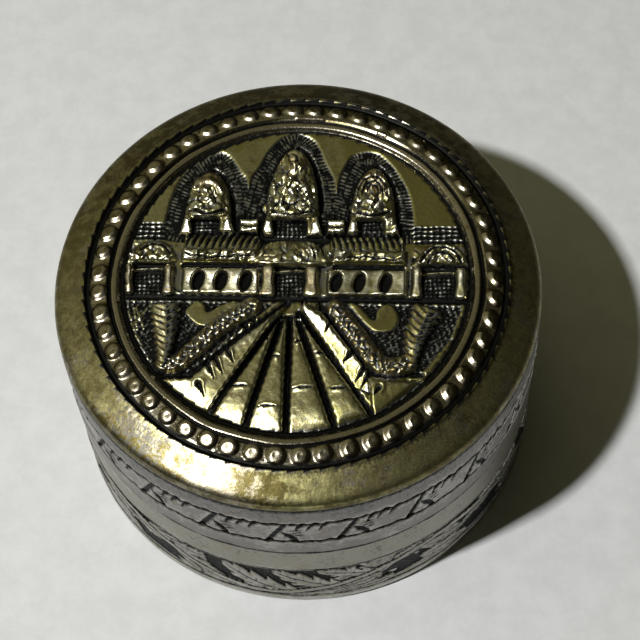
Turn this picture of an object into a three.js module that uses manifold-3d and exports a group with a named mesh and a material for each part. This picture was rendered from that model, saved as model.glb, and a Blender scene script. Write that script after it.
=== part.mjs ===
// Round betel box in chased white metal: a drum-shaped base and a slip lid with a raised picture.
// Millimetres, +Z up. The origin is the centre of the foot, on the surface that the box stands on.
// The picture on the lid is read from -Y, with its sky towards +Y.

import * as THREE from 'three';
import { mergeVertices } from 'three/addons/utils/BufferGeometryUtils.js';
import Module from 'manifold-3d';

const wasm = await Module();
wasm.setup();

// Driving dimensions of the box
const BOX_RADIUS = 32;
const BASE_SET_BACK = 0.2;
const BASE_HEIGHT = 17.7;
const LID_HEIGHT = 16.9;
const SHEET = 0.9;
const SEAM_GAP = 0.1;
const SOLDER_GAP = 0.05;
const SLIP_CLEARANCE = 0.15;
const SEGMENTS = 72;

// Base wall: a rounded foot, a sunk field for the frieze and a chased line above and below it
const FOOT_ROUND = 0.8;
const FRIEZE_FOOT = 2.2;
const FRIEZE_HEIGHT = 9;
const FRIEZE_DEPTH = 0.3;

// Collar inside the base, which the lid slips over
const COLLAR_REACH = 9;
const COLLAR_LAP = 9;
const COLLAR_LEAD_IN = 0.4;

// Lid band: two chased lines frame its border
const BORDER_DROP = 7.6;
const BORDER_HEIGHT = 5.3;
const LINE_WIDTH = 0.6;
const LINE_DEPTH = 0.3;

// Lid top: sloping shoulder, groove, beads, groove, plain ring and groove, from the rim inwards
const SHOULDER_WIDTH = 4.2;
const SHOULDER_DROP = 2.4;
const SHOULDER_CROWN = 0.45;
const RIM_EDGE = 0.6;
const GROOVE_WIDTH = 0.8;
const GROOVE_DEPTH = 0.35;
const BEAD_SEAT = 2.2;
const BEAD_COUNT = 54;
const BEAD_RISE = 0.8;
const RING_WIDTH = 1.1;
const RING_RISE = 0.3;

// Picture: heights above its ground, and places measured from the lid's centre
const PICTURE_OFFSET = -0.7;
const LOW_RELIEF = 0.45;
const WALL_RELIEF = 0.65;
const ROOF_RELIEF = 0.95;
const TOWER_RELIEF = 1.1;
const MATTED_DEPTH = 0.2;
const EDGE_ROUND = 0.2;
const SINK = 0.4;
const CUT_HEADROOM = 1;
const CURVE_STEPS = 5;
const BEAD_SIDES = 8;
const BEAD_RINGS = 4;

// Lotus bud outline: straight to a share of its height, then an arch drawn to the tip
const BUD_STRAIGHT = 0.33;
const BUD_FULL_WIDTH = 0.9;
const BUD_FULL_HEIGHT = 0.85;

const TOWER_FOOT = 6.1;
const SIDE_TOWER_OFFSET = 11.2;
const SIDE_TOWER_WIDTH = 6.4;
const SIDE_TOWER_HEIGHT = 10.4;
const MIDDLE_TOWER_WIDTH = 7.6;
const MIDDLE_TOWER_HEIGHT = 13.6;
const TOWER_HALO = 2.1;
const TOWER_DOOR_WIDTH = 3.6;
const TOWER_DOOR_HEIGHT = 3;
const TOWER_TIERS = 3;
const TOWER_STEPS = [1, 0.72, 0.42];
const TOWER_STEP_RISE = 0.24;
const TOWER_STEP_TIP = 0.3;
const TIER_GROOVE = 0.4;

const GALLERY_FOOT = -2.9;
const GALLERY_HEIGHT = 3.8;
const GALLERY_START = 5.3;
const GALLERY_LENGTH = 9.6;
const WINDOW_COUNT = 3;
const WINDOW_WIDTH = 1.7;
const WINDOW_HEIGHT = 2.9;
const ROOF_FOOT = 2;
const ROOF_HEIGHT = 2;
const FLUTE_COUNT = 9;
const FLUTE_WIDTH = 0.6;
const FLUTE_HEIGHT = 1.7;
const FLUTE_LEAN = 0.5;

const PAVILION_OFFSET = 19.2;
const PAVILION_WIDTH = 6.6;
const PILLAR_WIDTH = 1.4;
const CANOPY_HEIGHT = 2.8;
const CANOPY_STEPS = [1, 0.8, 0.55];
const CANOPY_STEP_RISE = 0.14;
const GATE_WIDTH = 8;
const GATE_PILLAR_WIDTH = 1.6;
const WING_WIDTH = 4;
const WING_HEIGHT = 2.2;

const SERPENT_WIDTH = 2.2;
const SERPENT_NECK = [4.6, -4.4];
const SERPENT_BEND = [11.6, -12.9];
const SERPENT_TURN = [15.2, -12.9];
const HOOD_TIP = [18, -4.4];
const HOOD_WIDTH = 4.4;

const CAUSEWAY_APEX = -4.6;
const CAUSEWAY_START = 2.2;
const CAUSEWAY_SPREAD = 98;
const SLAB_COUNT = 6;
const SLAB_JOINT = 0.7;

const WHITE_METAL = { roughness: 0.38, metalness: 1 };

// Worked-out radii and heights
const baseRadius = BOX_RADIUS - BASE_SET_BACK;
const baseInside = baseRadius - SHEET;
const collarRadius = baseInside - SOLDER_GAP;
const collarInside = collarRadius - SHEET;
const bandInside = collarRadius + SLIP_CLEARANCE;
const seatHeight = BASE_HEIGHT + SEAM_GAP;
const groundHeight = BASE_HEIGHT + LID_HEIGHT;
const shoulderFoot = groundHeight - SHOULDER_DROP;
const bandTop = shoulderFoot - RIM_EDGE - SOLDER_GAP;
const shoulderStart = BOX_RADIUS - SHOULDER_WIDTH;
const beadOuter = shoulderStart - GROOVE_WIDTH;
const beadInner = beadOuter - BEAD_SEAT;
const ringOuter = beadInner - GROOVE_WIDTH;
const ringInner = ringOuter - RING_WIDTH;
const fieldRadius = ringInner - GROOVE_WIDTH;
const sheetUnderside = groundHeight - SHEET;

// A closed three.js geometry as a solid that can be joined and cut
function solid(geometry) {
  geometry.deleteAttribute('normal');
  geometry.deleteAttribute('uv');
  const merged = mergeVertices(geometry);
  const corners = merged.index.array;
  const kept = [];
  for (let i = 0; i < corners.length; i += 3) {
    const [a, b, c] = corners.slice(i, i + 3);
    if (a !== b && b !== c && c !== a) kept.push(a, b, c);
  }
  const mesh = new wasm.Mesh({
    numProp: 3,
    vertProperties: new Float32Array(merged.attributes.position.array),
    triVerts: new Uint32Array(kept),
  });
  return new wasm.Manifold(mesh);
}

// A solid as a named three.js mesh in its own shade of the metal
function piece(name, shape, color) {
  const { vertProperties, triVerts } = shape.getMesh();
  const geometry = new THREE.BufferGeometry();
  geometry.setAttribute('position', new THREE.BufferAttribute(vertProperties, 3));
  geometry.setIndex(new THREE.BufferAttribute(triVerts, 1));
  geometry.computeVertexNormals();
  const mesh = new THREE.Mesh(geometry, new THREE.MeshStandardMaterial({ color, ...WHITE_METAL }));
  mesh.name = name;
  return mesh;
}

const joined = (solids) => solids.reduce((whole, next) => whole.add(next));

// A closed profile of [radius, height] points turned about the box's axis
function turned(profile) {
  const points = [...profile, profile[0]].map(([radius, height]) => new THREE.Vector2(radius, height));
  const geometry = new THREE.LatheGeometry(points, SEGMENTS);
  geometry.rotateX(Math.PI / 2);
  return solid(geometry);
}

// Points of a V-shaped chased line running up a wall of the given radius
const chasedLine = (radius, height) => [
  [radius, height - LINE_WIDTH / 2],
  [radius - LINE_DEPTH, height],
  [radius, height + LINE_WIDTH / 2],
];

// Points along a quadratic curve in [radius, height], without its end
function curved(start, control, end) {
  const [a, b, c] = [start, control, end].map(([r, z]) => new THREE.Vector2(r, z));
  const curve = new THREE.QuadraticBezierCurve(a, b, c);
  return curve.getPoints(CURVE_STEPS).slice(0, -1).map((p) => [p.x, p.y]);
}

// Base

function baseWall() {
  const friezeTop = FRIEZE_FOOT + FRIEZE_HEIGHT;
  const ground = baseRadius - FRIEZE_DEPTH;
  return turned([
    [baseInside, 0],
    ...curved([baseRadius - FOOT_ROUND, 0], [baseRadius, 0], [baseRadius, FOOT_ROUND]),
    [baseRadius, FOOT_ROUND],
    [baseRadius, FRIEZE_FOOT],
    [ground, FRIEZE_FOOT + FRIEZE_DEPTH],
    [ground, friezeTop - FRIEZE_DEPTH],
    [baseRadius, friezeTop],
    [baseRadius, BASE_HEIGHT],
    [baseInside, BASE_HEIGHT],
  ]);
}

function baseBottom() {
  return turned([
    [0, 0],
    [collarRadius, 0],
    [collarRadius, SHEET],
    [0, SHEET],
  ]);
}

function innerCollar() {
  const foot = BASE_HEIGHT - COLLAR_LAP;
  const top = BASE_HEIGHT + COLLAR_REACH;
  return turned([
    [collarInside, foot],
    [collarRadius, foot],
    [collarRadius, top - COLLAR_LEAD_IN],
    [collarRadius - COLLAR_LEAD_IN, top],
    [collarInside, top],
  ]);
}

// Lid

function lidBand() {
  const borderTop = groundHeight - BORDER_DROP;
  return turned([
    [bandInside, seatHeight],
    [BOX_RADIUS, seatHeight],
    ...chasedLine(BOX_RADIUS, borderTop - BORDER_HEIGHT),
    ...chasedLine(BOX_RADIUS, borderTop),
    [BOX_RADIUS, bandTop],
    [bandInside, bandTop],
  ]);
}

function lidSheet() {
  const floor = groundHeight - GROOVE_DEPTH;
  const chord = new THREE.Vector2(SHOULDER_WIDTH, -SHOULDER_DROP);
  const middle = [(shoulderStart + BOX_RADIUS) / 2, (groundHeight + shoulderFoot) / 2];
  const bulge = (2 * SHOULDER_CROWN) / chord.length();
  const crown = [middle[0] - chord.y * bulge, middle[1] + chord.x * bulge];
  const shoulder = curved([BOX_RADIUS, shoulderFoot], crown, [shoulderStart, groundHeight]);
  const rimUnderside = shoulderFoot - RIM_EDGE;
  const lowered = ([radius, height]) => [radius - SHEET / 2, height - SHEET];
  const hollow = curved([shoulderStart - SHEET, sheetUnderside], lowered(crown), [bandInside, rimUnderside]);
  return turned([
    [0, sheetUnderside],
    ...hollow,
    [bandInside, rimUnderside],
    [BOX_RADIUS, rimUnderside],
    ...shoulder,
    [shoulderStart, groundHeight],
    [shoulderStart - GROOVE_WIDTH / 2, floor],
    [beadOuter, groundHeight],
    [beadInner, groundHeight],
    [beadInner - GROOVE_WIDTH / 2, floor],
    [ringOuter, groundHeight],
    [ringOuter - RING_WIDTH / 4, groundHeight + RING_RISE],
    [ringInner + RING_WIDTH / 4, groundHeight + RING_RISE],
    [ringInner, groundHeight],
    [ringInner - GROOVE_WIDTH / 2, floor],
    [fieldRadius, groundHeight],
    [0, groundHeight],
  ]);
}

function beadBorder() {
  const circle = (beadOuter + beadInner) / 2;
  const beads = [];
  for (let i = 0; i < BEAD_COUNT; i += 1) {
    const angle = (2 * Math.PI * i) / BEAD_COUNT;
    const bead = new THREE.SphereGeometry(BEAD_SEAT / 2, BEAD_SIDES, BEAD_RINGS);
    bead.scale(1, 1, (2 * BEAD_RISE) / BEAD_SEAT);
    bead.rotateZ(angle);
    bead.translate(circle * Math.cos(angle), circle * Math.sin(angle), groundHeight);
    beads.push(solid(bead));
  }
  return joined(beads);
}

// Outlines for the picture

const outline = (points) => new THREE.Shape(points.map(([x, y]) => new THREE.Vector2(x, y)));

const oblong = (x, y, width, height) => outline([
  [x - width / 2, y], [x + width / 2, y], [x + width / 2, y + height], [x - width / 2, y + height],
]);

// A lotus bud standing on y, with straight sides below and an arch that closes to the tip
function bud(x, y, width, height) {
  const half = width / 2;
  const shape = new THREE.Shape();
  shape.moveTo(x - half, y);
  shape.lineTo(x + half, y);
  shape.lineTo(x + half, y + height * BUD_STRAIGHT);
  const [full, high] = [half * BUD_FULL_WIDTH, y + height * BUD_FULL_HEIGHT];
  shape.quadraticCurveTo(x + full, high, x, y + height);
  shape.quadraticCurveTo(x - full, high, x - half, y + height * BUD_STRAIGHT);
  shape.closePath();
  return shape;
}

function oval(x, y, width, height) {
  const shape = new THREE.Shape();
  shape.absellipse(x, y, width / 2, height / 2, 0, 2 * Math.PI);
  return shape;
}

// An outline raised from the ground with rounded edges, its foot sunk into the sheet
function raised(shape, rise) {
  const geometry = new THREE.ExtrudeGeometry(shape, {
    depth: rise + SINK - 2 * EDGE_ROUND,
    bevelThickness: EDGE_ROUND,
    bevelSize: EDGE_ROUND,
    bevelOffset: -EDGE_ROUND,
    bevelSegments: 1,
    curveSegments: CURVE_STEPS,
  });
  geometry.translate(0, 0, groundHeight - SINK + EDGE_ROUND);
  return solid(geometry);
}

// An outline cut down from a height, with upright walls
function sunk(shape, from, depth) {
  const geometry = new THREE.ExtrudeGeometry(shape, {
    depth: depth + CUT_HEADROOM, bevelEnabled: false, curveSegments: CURVE_STEPS,
  });
  geometry.translate(0, 0, groundHeight + from - depth);
  return solid(geometry);
}

// A half-round bar along a path of [x, y] points on the ground
function halfRound(path, width, rise) {
  const points = path.map(([x, y]) => new THREE.Vector3(x, y, groundHeight));
  const curve = new THREE.CatmullRomCurve3(points, false, 'catmullrom', 0.1);
  const section = new THREE.Shape();
  section.absellipse(0, 0, rise, width / 2, 0, 2 * Math.PI);
  const geometry = new THREE.ExtrudeGeometry(section, {
    steps: CURVE_STEPS * (path.length - 1), bevelEnabled: false, extrudePath: curve, curveSegments: CURVE_STEPS,
  });
  return solid(geometry);
}

// Parts of the picture, each a list of solids to raise or to cut

function tower(x, width, height) {
  const body = TOWER_STEPS.map((share, i) => {
    const rise = TOWER_RELIEF - TOWER_STEP_RISE * (TOWER_STEPS.length - 1 - i);
    const tip = height * (1 - TOWER_STEP_TIP * (1 - share));
    return raised(bud(x, TOWER_FOOT, width * share, tip), rise);
  });
  const door = sunk(oblong(x, TOWER_FOOT, TOWER_DOOR_WIDTH, TOWER_DOOR_HEIGHT), TOWER_RELIEF, TOWER_RELIEF);
  const tierStart = TOWER_FOOT + TOWER_DOOR_HEIGHT + TIER_GROOVE;
  const tierPitch = (height - TOWER_DOOR_HEIGHT) / (TOWER_TIERS + 1);
  const cuts = [door];
  for (let i = 0; i < TOWER_TIERS; i += 1) {
    const line = oblong(x, tierStart + i * tierPitch, width, TIER_GROOVE);
    cuts.push(sunk(line, TOWER_RELIEF, TOWER_RELIEF / 2));
  }
  return joined(body).subtract(joined(cuts));
}

function halo(x, width, height) {
  const wide = width + 2 * TOWER_HALO;
  return sunk(bud(x, TOWER_FOOT, wide, height + TOWER_HALO), 0, MATTED_DEPTH);
}

function gallery(side) {
  const middle = PICTURE_OFFSET + side * (GALLERY_START + GALLERY_LENGTH / 2);
  const wall = raised(oblong(middle, GALLERY_FOOT, GALLERY_LENGTH, GALLERY_HEIGHT), WALL_RELIEF);
  const windows = [];
  for (let i = 0; i < WINDOW_COUNT; i += 1) {
    const x = middle + (GALLERY_LENGTH / WINDOW_COUNT) * (i - (WINDOW_COUNT - 1) / 2);
    windows.push(sunk(oval(x, GALLERY_FOOT + GALLERY_HEIGHT / 2, WINDOW_WIDTH, WINDOW_HEIGHT),
      WALL_RELIEF, WALL_RELIEF));
  }
  const ends = [-1, 1].map((end) => [middle + (end * GALLERY_LENGTH) / 2, ROOF_FOOT + ROOF_HEIGHT / 2]);
  const roof = halfRound(ends, ROOF_HEIGHT, ROOF_RELIEF);
  const flutes = [];
  for (let i = 0; i < FLUTE_COUNT; i += 1) {
    const foot = middle + (GALLERY_LENGTH / FLUTE_COUNT) * (i - (FLUTE_COUNT - 1) / 2);
    const lean = -side * FLUTE_LEAN;
    const y = ROOF_FOOT + ROOF_HEIGHT;
    const half = FLUTE_WIDTH / 2;
    flutes.push(raised(outline([
      [foot - half, y], [foot + half, y],
      [foot + half + lean, y + FLUTE_HEIGHT], [foot - half + lean, y + FLUTE_HEIGHT],
    ]), LOW_RELIEF));
  }
  return joined([wall.subtract(joined(windows)), roof, ...flutes]);
}

// Two pillars, a doorway between them and a stepped canopy over it
function porch(x, width, pillar) {
  const pillars = [-1, 1].map((side) =>
    raised(oblong(x + (side * (width - pillar)) / 2, GALLERY_FOOT, pillar, GALLERY_HEIGHT), WALL_RELIEF));
  const canopyFoot = GALLERY_FOOT + GALLERY_HEIGHT + TIER_GROOVE;
  const tiers = CANOPY_STEPS.map((share, i) => {
    const rise = ROOF_RELIEF - CANOPY_STEP_RISE * (CANOPY_STEPS.length - 1 - i);
    return raised(bud(x, canopyFoot, width * share, CANOPY_HEIGHT * share), rise);
  });
  return joined([...pillars, ...tiers]);
}

function wing(side) {
  const x = PICTURE_OFFSET + side * PAVILION_OFFSET;
  return raised(oblong(x, TOWER_FOOT - TIER_GROOVE, WING_WIDTH, WING_HEIGHT), LOW_RELIEF);
}

function serpent(side) {
  const placed = ([x, y]) => [PICTURE_OFFSET + side * x, y];
  const path = [SERPENT_NECK, SERPENT_BEND, SERPENT_TURN].map(placed);
  const body = halfRound(path, SERPENT_WIDTH, WALL_RELIEF);
  const [footX, footY] = placed(SERPENT_TURN);
  const [tipX, tipY] = placed(HOOD_TIP);
  const [middleX, middleY] = [(footX + tipX) / 2, (footY + tipY) / 2];
  const hood = new THREE.Shape();
  hood.moveTo(footX, footY);
  hood.quadraticCurveTo(middleX + HOOD_WIDTH, middleY, tipX, tipY);
  hood.quadraticCurveTo(middleX - HOOD_WIDTH, middleY, footX, footY);
  return joined([body, raised(hood, ROOF_RELIEF)]);
}

// Paving slabs that fan out from the gate to the edge of the field
function causeway() {
  const pitch = THREE.MathUtils.degToRad(CAUSEWAY_SPREAD) / SLAB_COUNT;
  const reach = 2 * fieldRadius;
  const half = (far) => far * Math.tan(pitch / 2) - SLAB_JOINT / 2;
  const start = CAUSEWAY_START + SLAB_JOINT / (2 * Math.tan(pitch / 2));
  const paving = outline([
    [-half(start), -start], [-half(reach), -reach], [half(reach), -reach], [half(start), -start],
  ]);
  const slabs = [];
  for (let i = 0; i < SLAB_COUNT; i += 1) {
    const angle = (i - (SLAB_COUNT - 1) / 2) * pitch;
    const slab = raised(paving, LOW_RELIEF).rotate([0, 0, THREE.MathUtils.radToDeg(angle)]);
    slabs.push(slab.translate([PICTURE_OFFSET, CAUSEWAY_APEX, 0]));
  }
  return joined(slabs);
}

// The round field that the picture may fill
function fieldSpace() {
  const height = 2 * (TOWER_RELIEF + SINK);
  const space = new THREE.CylinderGeometry(fieldRadius, fieldRadius, height, SEGMENTS);
  space.rotateX(Math.PI / 2);
  space.translate(0, 0, groundHeight);
  return solid(space);
}

function lidTop() {
  const left = PICTURE_OFFSET - SIDE_TOWER_OFFSET;
  const right = PICTURE_OFFSET + SIDE_TOWER_OFFSET;
  const towers = [
    [left, SIDE_TOWER_WIDTH, SIDE_TOWER_HEIGHT],
    [PICTURE_OFFSET, MIDDLE_TOWER_WIDTH, MIDDLE_TOWER_HEIGHT],
    [right, SIDE_TOWER_WIDTH, SIDE_TOWER_HEIGHT],
  ];
  const matted = joined(towers.map((size) => halo(...size))).intersect(fieldSpace());
  const picture = joined([
    ...towers.map((size) => tower(...size)),
    ...[-1, 1].map(gallery),
    ...[-1, 1].map((side) => porch(PICTURE_OFFSET + side * PAVILION_OFFSET, PAVILION_WIDTH, PILLAR_WIDTH)),
    porch(PICTURE_OFFSET, GATE_WIDTH, GATE_PILLAR_WIDTH),
    ...[-1, 1].map(wing),
    ...[-1, 1].map(serpent),
    causeway(),
  ]).intersect(fieldSpace());
  return lidSheet().add(beadBorder()).subtract(matted).add(picture);
}

const base = new THREE.Group();
base.add(piece('base_wall', baseWall(), 0xb9b29c));
base.add(piece('inner_collar', innerCollar(), 0xc6bfa6));
base.add(piece('base_bottom', baseBottom(), 0xaea78f));

const lid = new THREE.Group();
lid.add(piece('lid_band', lidBand(), 0xbdb6a2));
lid.add(piece('lid_top', lidTop(), 0xb5aa78));

const box = new THREE.Group();
box.add(base, lid);

export default box;
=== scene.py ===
import math

import bpy
import numpy as np
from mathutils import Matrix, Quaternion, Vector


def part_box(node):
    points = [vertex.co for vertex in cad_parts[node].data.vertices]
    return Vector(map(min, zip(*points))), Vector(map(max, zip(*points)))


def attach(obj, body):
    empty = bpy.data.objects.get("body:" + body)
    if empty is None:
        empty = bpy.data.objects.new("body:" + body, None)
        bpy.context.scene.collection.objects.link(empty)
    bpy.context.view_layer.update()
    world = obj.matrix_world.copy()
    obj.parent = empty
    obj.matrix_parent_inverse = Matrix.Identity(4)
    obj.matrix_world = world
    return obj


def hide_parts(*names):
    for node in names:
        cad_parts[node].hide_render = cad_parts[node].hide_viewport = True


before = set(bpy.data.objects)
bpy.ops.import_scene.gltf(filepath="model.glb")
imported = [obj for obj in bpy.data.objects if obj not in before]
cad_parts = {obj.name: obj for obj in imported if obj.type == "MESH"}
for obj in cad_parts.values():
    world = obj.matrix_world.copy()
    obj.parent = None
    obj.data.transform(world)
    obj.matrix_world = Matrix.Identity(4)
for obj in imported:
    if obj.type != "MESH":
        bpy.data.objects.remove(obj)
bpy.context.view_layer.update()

# Bottom sheet
# A plain disc of white metal soldered inside the foot of the wall.

MM = 0.001
hand = np.random.default_rng(7)


class Bench:
    """A node tree, with calls that add a node to it and join it up."""

    def __init__(self, tree):
        self.nodes = tree.nodes
        self.links = tree.links

    def add(self, kind, inputs, **options):
        """A new node's outputs, once its options are set and each input is joined or set to a value."""
        node = self.nodes.new(kind)
        for option, choice in options.items():
            setattr(node, option, choice)
        for socket, source in inputs.items():
            if isinstance(source, bpy.types.NodeSocket):
                self.links.new(source, node.inputs[socket])
            else:
                node.inputs[socket].default_value = source
        return node.outputs

    def noise(self, scale, detail, crumbling=0.5):
        """Noise laid on the piece's own coordinates; the more crumbling, the more broken its patches."""
        place = self.add("ShaderNodeTexCoord", {})["Object"]
        inputs = {"Vector": place, "Scale": scale, "Detail": detail, "Roughness": crumbling}
        return self.add("ShaderNodeTexNoise", inputs)["Fac"]

    def ramp(self, source, low, high, start=0.0, end=1.0):
        """A value from start to end as the source goes from low to high."""
        inputs = {"Value": source, "From Min": low, "From Max": high, "To Min": start, "To Max": end}
        return self.add("ShaderNodeMapRange", inputs, interpolation_type="SMOOTHSTEP")["Result"]

    def mix(self, share, first, second):
        """One colour over another by a share."""
        inputs = {"Factor": share, "A": first, "B": second}
        return self.add("ShaderNodeMix", inputs, data_type="RGBA")["Result"]

    def total(self, first, second):
        """The sum of two values."""
        return self.add("ShaderNodeMath", {0: first, 1: second}, operation="ADD")["Value"]

    def times(self, first, second):
        """The product of two values."""
        return self.add("ShaderNodeMath", {0: first, 1: second}, operation="MULTIPLY")["Value"]

    def stored(self, name):
        """A value that the piece's mesh stores at each point."""
        return self.add("ShaderNodeAttribute", {}, attribute_name=name)["Fac"]


def worn_metal_group():
    """Tarnish in soft patches, black left in the recesses and bright metal on what stands proud, with the
    painted highlights and painted shade that the pieces store.
    """
    group = bpy.data.node_groups.new("worn_metal", "ShaderNodeTree")
    for name in ("Metal", "Tarnish", "Brown", "Copper", "Grey", "Black", "Bright"):
        group.interface.new_socket(name, in_out="INPUT", socket_type="NodeSocketColor")
    group.interface.new_socket("Dullness", in_out="INPUT", socket_type="NodeSocketFloat")
    for name, kind in (("Colour", "Color"), ("Roughness", "Float"), ("Height", "Float")):
        group.interface.new_socket(name, in_out="OUTPUT", socket_type="NodeSocket" + kind)
    bench = Bench(group)
    given = group.nodes.new("NodeGroupInput").outputs
    result = group.nodes.new("NodeGroupOutput").inputs

    patches = bench.ramp(bench.total(bench.noise(150.0, 12.0, 0.8), bench.stored("tarnish_and_painted_light")), 0.47, 0.54)
    stains = bench.ramp(bench.noise(380.0, 9.0, 0.8), 0.55, 0.6)
    fine = bench.noise(1900.0, 4.0)
    specks = bench.ramp(fine, 0.42, 0.66)
    grain = bench.noise(4800.0, 3.0)

    ragged = bench.ramp(fine, 0.3, 0.7, -0.2, 0.2)
    level = bench.total(bench.stored("relief"), ragged)
    shaded = bench.ramp(level, -0.08, -0.34)
    recess = bench.ramp(level, -0.4, -0.85)
    proud = bench.ramp(level, 0.16, 0.8)
    flaked = bench.ramp(bench.noise(520.0, 8.0, 0.75), 0.4, 0.58, 0.2)

    # Each colour lies over those before it
    layers = (
        (patches, "Tarnish"),
        (bench.times(stains, 0.75), "Brown"),
        (bench.times(specks, 0.4), "Tarnish"),
        (proud, "Bright"),
        (bench.times(bench.stored("copper_and_painted_light"), flaked), "Copper"),
        (shaded, "Grey"),
        (recess, "Black"),
    )
    colour = given["Metal"]
    for share, name in layers:
        colour = bench.mix(share, colour, given[name])
    bench.links.new(colour, result["Colour"])

    rough = bench.ramp(grain, 0.3, 0.7, 0.14, 0.24)
    for extra in (given["Dullness"], bench.stored("dulled"), bench.times(patches, 0.06),
                  bench.times(recess, 0.25), bench.times(proud, -0.07)):
        rough = bench.total(rough, extra)
    bench.links.new(rough, result["Roughness"])
    bench.links.new(bench.total(grain, specks), result["Height"])
    return group


worn_metal = worn_metal_group()


def metal_finish(name, grain_depth, dullness, **colours):
    """A worn metal with its own colours; grain_depth is the depth of its fine pitting in metres."""
    material = bpy.data.materials.new(name)
    material.use_nodes = True
    bench = Bench(material.node_tree)
    shader = bench.nodes["Principled BSDF"].inputs
    shader["Metallic"].default_value = 1.0
    inputs = {socket: (*colour, 1) for socket, colour in colours.items()}
    finish = bench.add("ShaderNodeGroup", {"Dullness": dullness, **inputs}, node_tree=worn_metal)
    pitting = {"Height": finish["Height"], "Distance": grain_depth, "Strength": 0.7}
    bump = bench.add("ShaderNodeBump", pitting)
    bench.links.new(finish["Colour"], shader["Base Color"])
    bench.links.new(finish["Roughness"], shader["Roughness"])
    bench.links.new(bump["Normal"], shader["Normal"])
    return material


side_metal = metal_finish(
    "grey_white_metal",
    grain_depth=0.00001,
    dullness=0.11,
    Metal=(0.36, 0.348, 0.315),
    Tarnish=(0.26, 0.25, 0.205),
    Brown=(0.22, 0.19, 0.12),
    Copper=(0.42, 0.27, 0.18),
    Grey=(0.10, 0.10, 0.098),
    Black=(0.012, 0.012, 0.012),
    Bright=(0.46, 0.45, 0.41),
)
bottom_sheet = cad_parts["base_bottom"].data
bottom_sheet.materials.clear()
bottom_sheet.materials.append(side_metal)

# Base wall
# A strip of sheet bent round and soldered, with the foot turned in a little.
# A vine frieze is chased round it between two lines, on a matted ground.

SHEET = 0.9


def spun(name, section, steps):
    """A closed section of (radius, height) points in millimetres, spun about the box's axis."""
    bpy.ops.object.select_all(action="DESELECT")
    bpy.ops.mesh.primitive_circle_add(vertices=len(section), radius=1.0)
    piece = bpy.context.object
    piece.name = name
    for vertex, (radius, height) in zip(piece.data.vertices, section):
        vertex.co = (radius * MM, 0.0, height * MM)
    turned = piece.modifiers.new("turned", "SCREW")
    turned.steps = steps
    turned.render_steps = steps
    bpy.ops.object.modifier_apply(modifier="turned")
    bpy.ops.object.mode_set(mode="EDIT")
    bpy.ops.mesh.select_all(action="SELECT")
    bpy.ops.mesh.normals_make_consistent(inside=False)
    bpy.ops.object.mode_set(mode="OBJECT")
    bpy.ops.object.shade_smooth_by_angle(angle=math.radians(50))
    return piece


def points_of(piece):
    """The piece's vertices as an array in millimetres."""
    flat = np.empty(3 * len(piece.data.vertices))
    piece.data.vertices.foreach_get("co", flat)
    return flat.reshape(-1, 3) / MM


def put_points(piece, points):
    """Writes an array in millimetres back to the piece's vertices."""
    piece.data.vertices.foreach_set("co", (points * MM).ravel())
    piece.data.update()


def unit(values):
    """Values kept between 0 and 1."""
    return np.clip(values, 0, 1)


def eased(piece, values, rounds):
    """Values at the piece's vertices, averaged with their neighbours a number of times."""
    edges = np.empty(2 * len(piece.data.edges), dtype=np.int32)
    piece.data.edges.foreach_get("vertices", edges)
    first, second = edges[0::2], edges[1::2]
    count = len(values)
    degree = np.bincount(first, minlength=count) + np.bincount(second, minlength=count)
    for _ in range(rounds):
        total = np.bincount(first, values[second], count) + np.bincount(second, values[first], count)
        values = 0.5 * values + 0.5 * total / degree
    return values


def store(piece, name, values):
    """Keeps a value at each of the piece's points, for its metal finish to read."""
    piece.data.attributes.new(name, "FLOAT", "POINT").data.foreach_set("value", values)


def mark_relief(piece, height, full, finish):
    """Stores how bright (plus) or black (minus) each point is, for the metal finish.

    What stands over its surroundings by the length called full is rubbed bright, what lies
    under them is black, and finish adds what the maker polished or blackened, and painted highlights and
    painted shade."""
    over = np.clip((height - eased(piece, height, 40)) / full, -1, 1)
    store(piece, "relief", np.clip(0.6 * over + finish, -1, 1))


def hand_sway(x, y, shortest, longest):
    """Uneven swells such as a hammer leaves, about -1 to 1: waves of many lengths that run every way."""
    waves = 14
    total = np.zeros(x.shape)
    for _ in range(waves):
        turn, lag = hand.uniform(0, 2 * math.pi, 2)
        reach = hand.uniform(shortest, longest)
        total += np.sin(2 * math.pi * (x * math.cos(turn) + y * math.sin(turn)) / reach + lag)
    return total / math.sqrt(waves)


def stretches(path, x, y):
    """Distance of each point from a path, the length along it there, its side and the whole length."""
    gap = np.full(x.shape, np.inf)
    along = np.zeros(x.shape)
    side = np.zeros(x.shape)
    start = 0.0
    for (ax, ay), (bx, by) in zip(path[:-1], path[1:]):
        dx, dy = bx - ax, by - ay
        length = math.hypot(dx, dy)
        share = unit(((x - ax) * dx + (y - ay) * dy) / length**2)
        off_x, off_y = x - ax - share * dx, y - ay - share * dy
        here = np.hypot(off_x, off_y)
        closer = here < gap
        gap = np.where(closer, here, gap)
        along = np.where(closer, start + share * length, along)
        side = np.where(closer, np.sign(dx * off_y - dy * off_x), side)
        start += length
    return gap, along, side, start


def within(outline, x, y):
    """True for each point inside a closed outline."""
    inside = np.zeros(x.shape, dtype=bool)
    for (ax, ay), (bx, by) in zip(outline, np.roll(outline, -1, axis=0)):
        if ay != by:
            crosses = (ay > y) != (by > y)
            inside ^= crosses & (x < ax + (y - ay) * (bx - ax) / (by - ay))
    return inside


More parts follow.
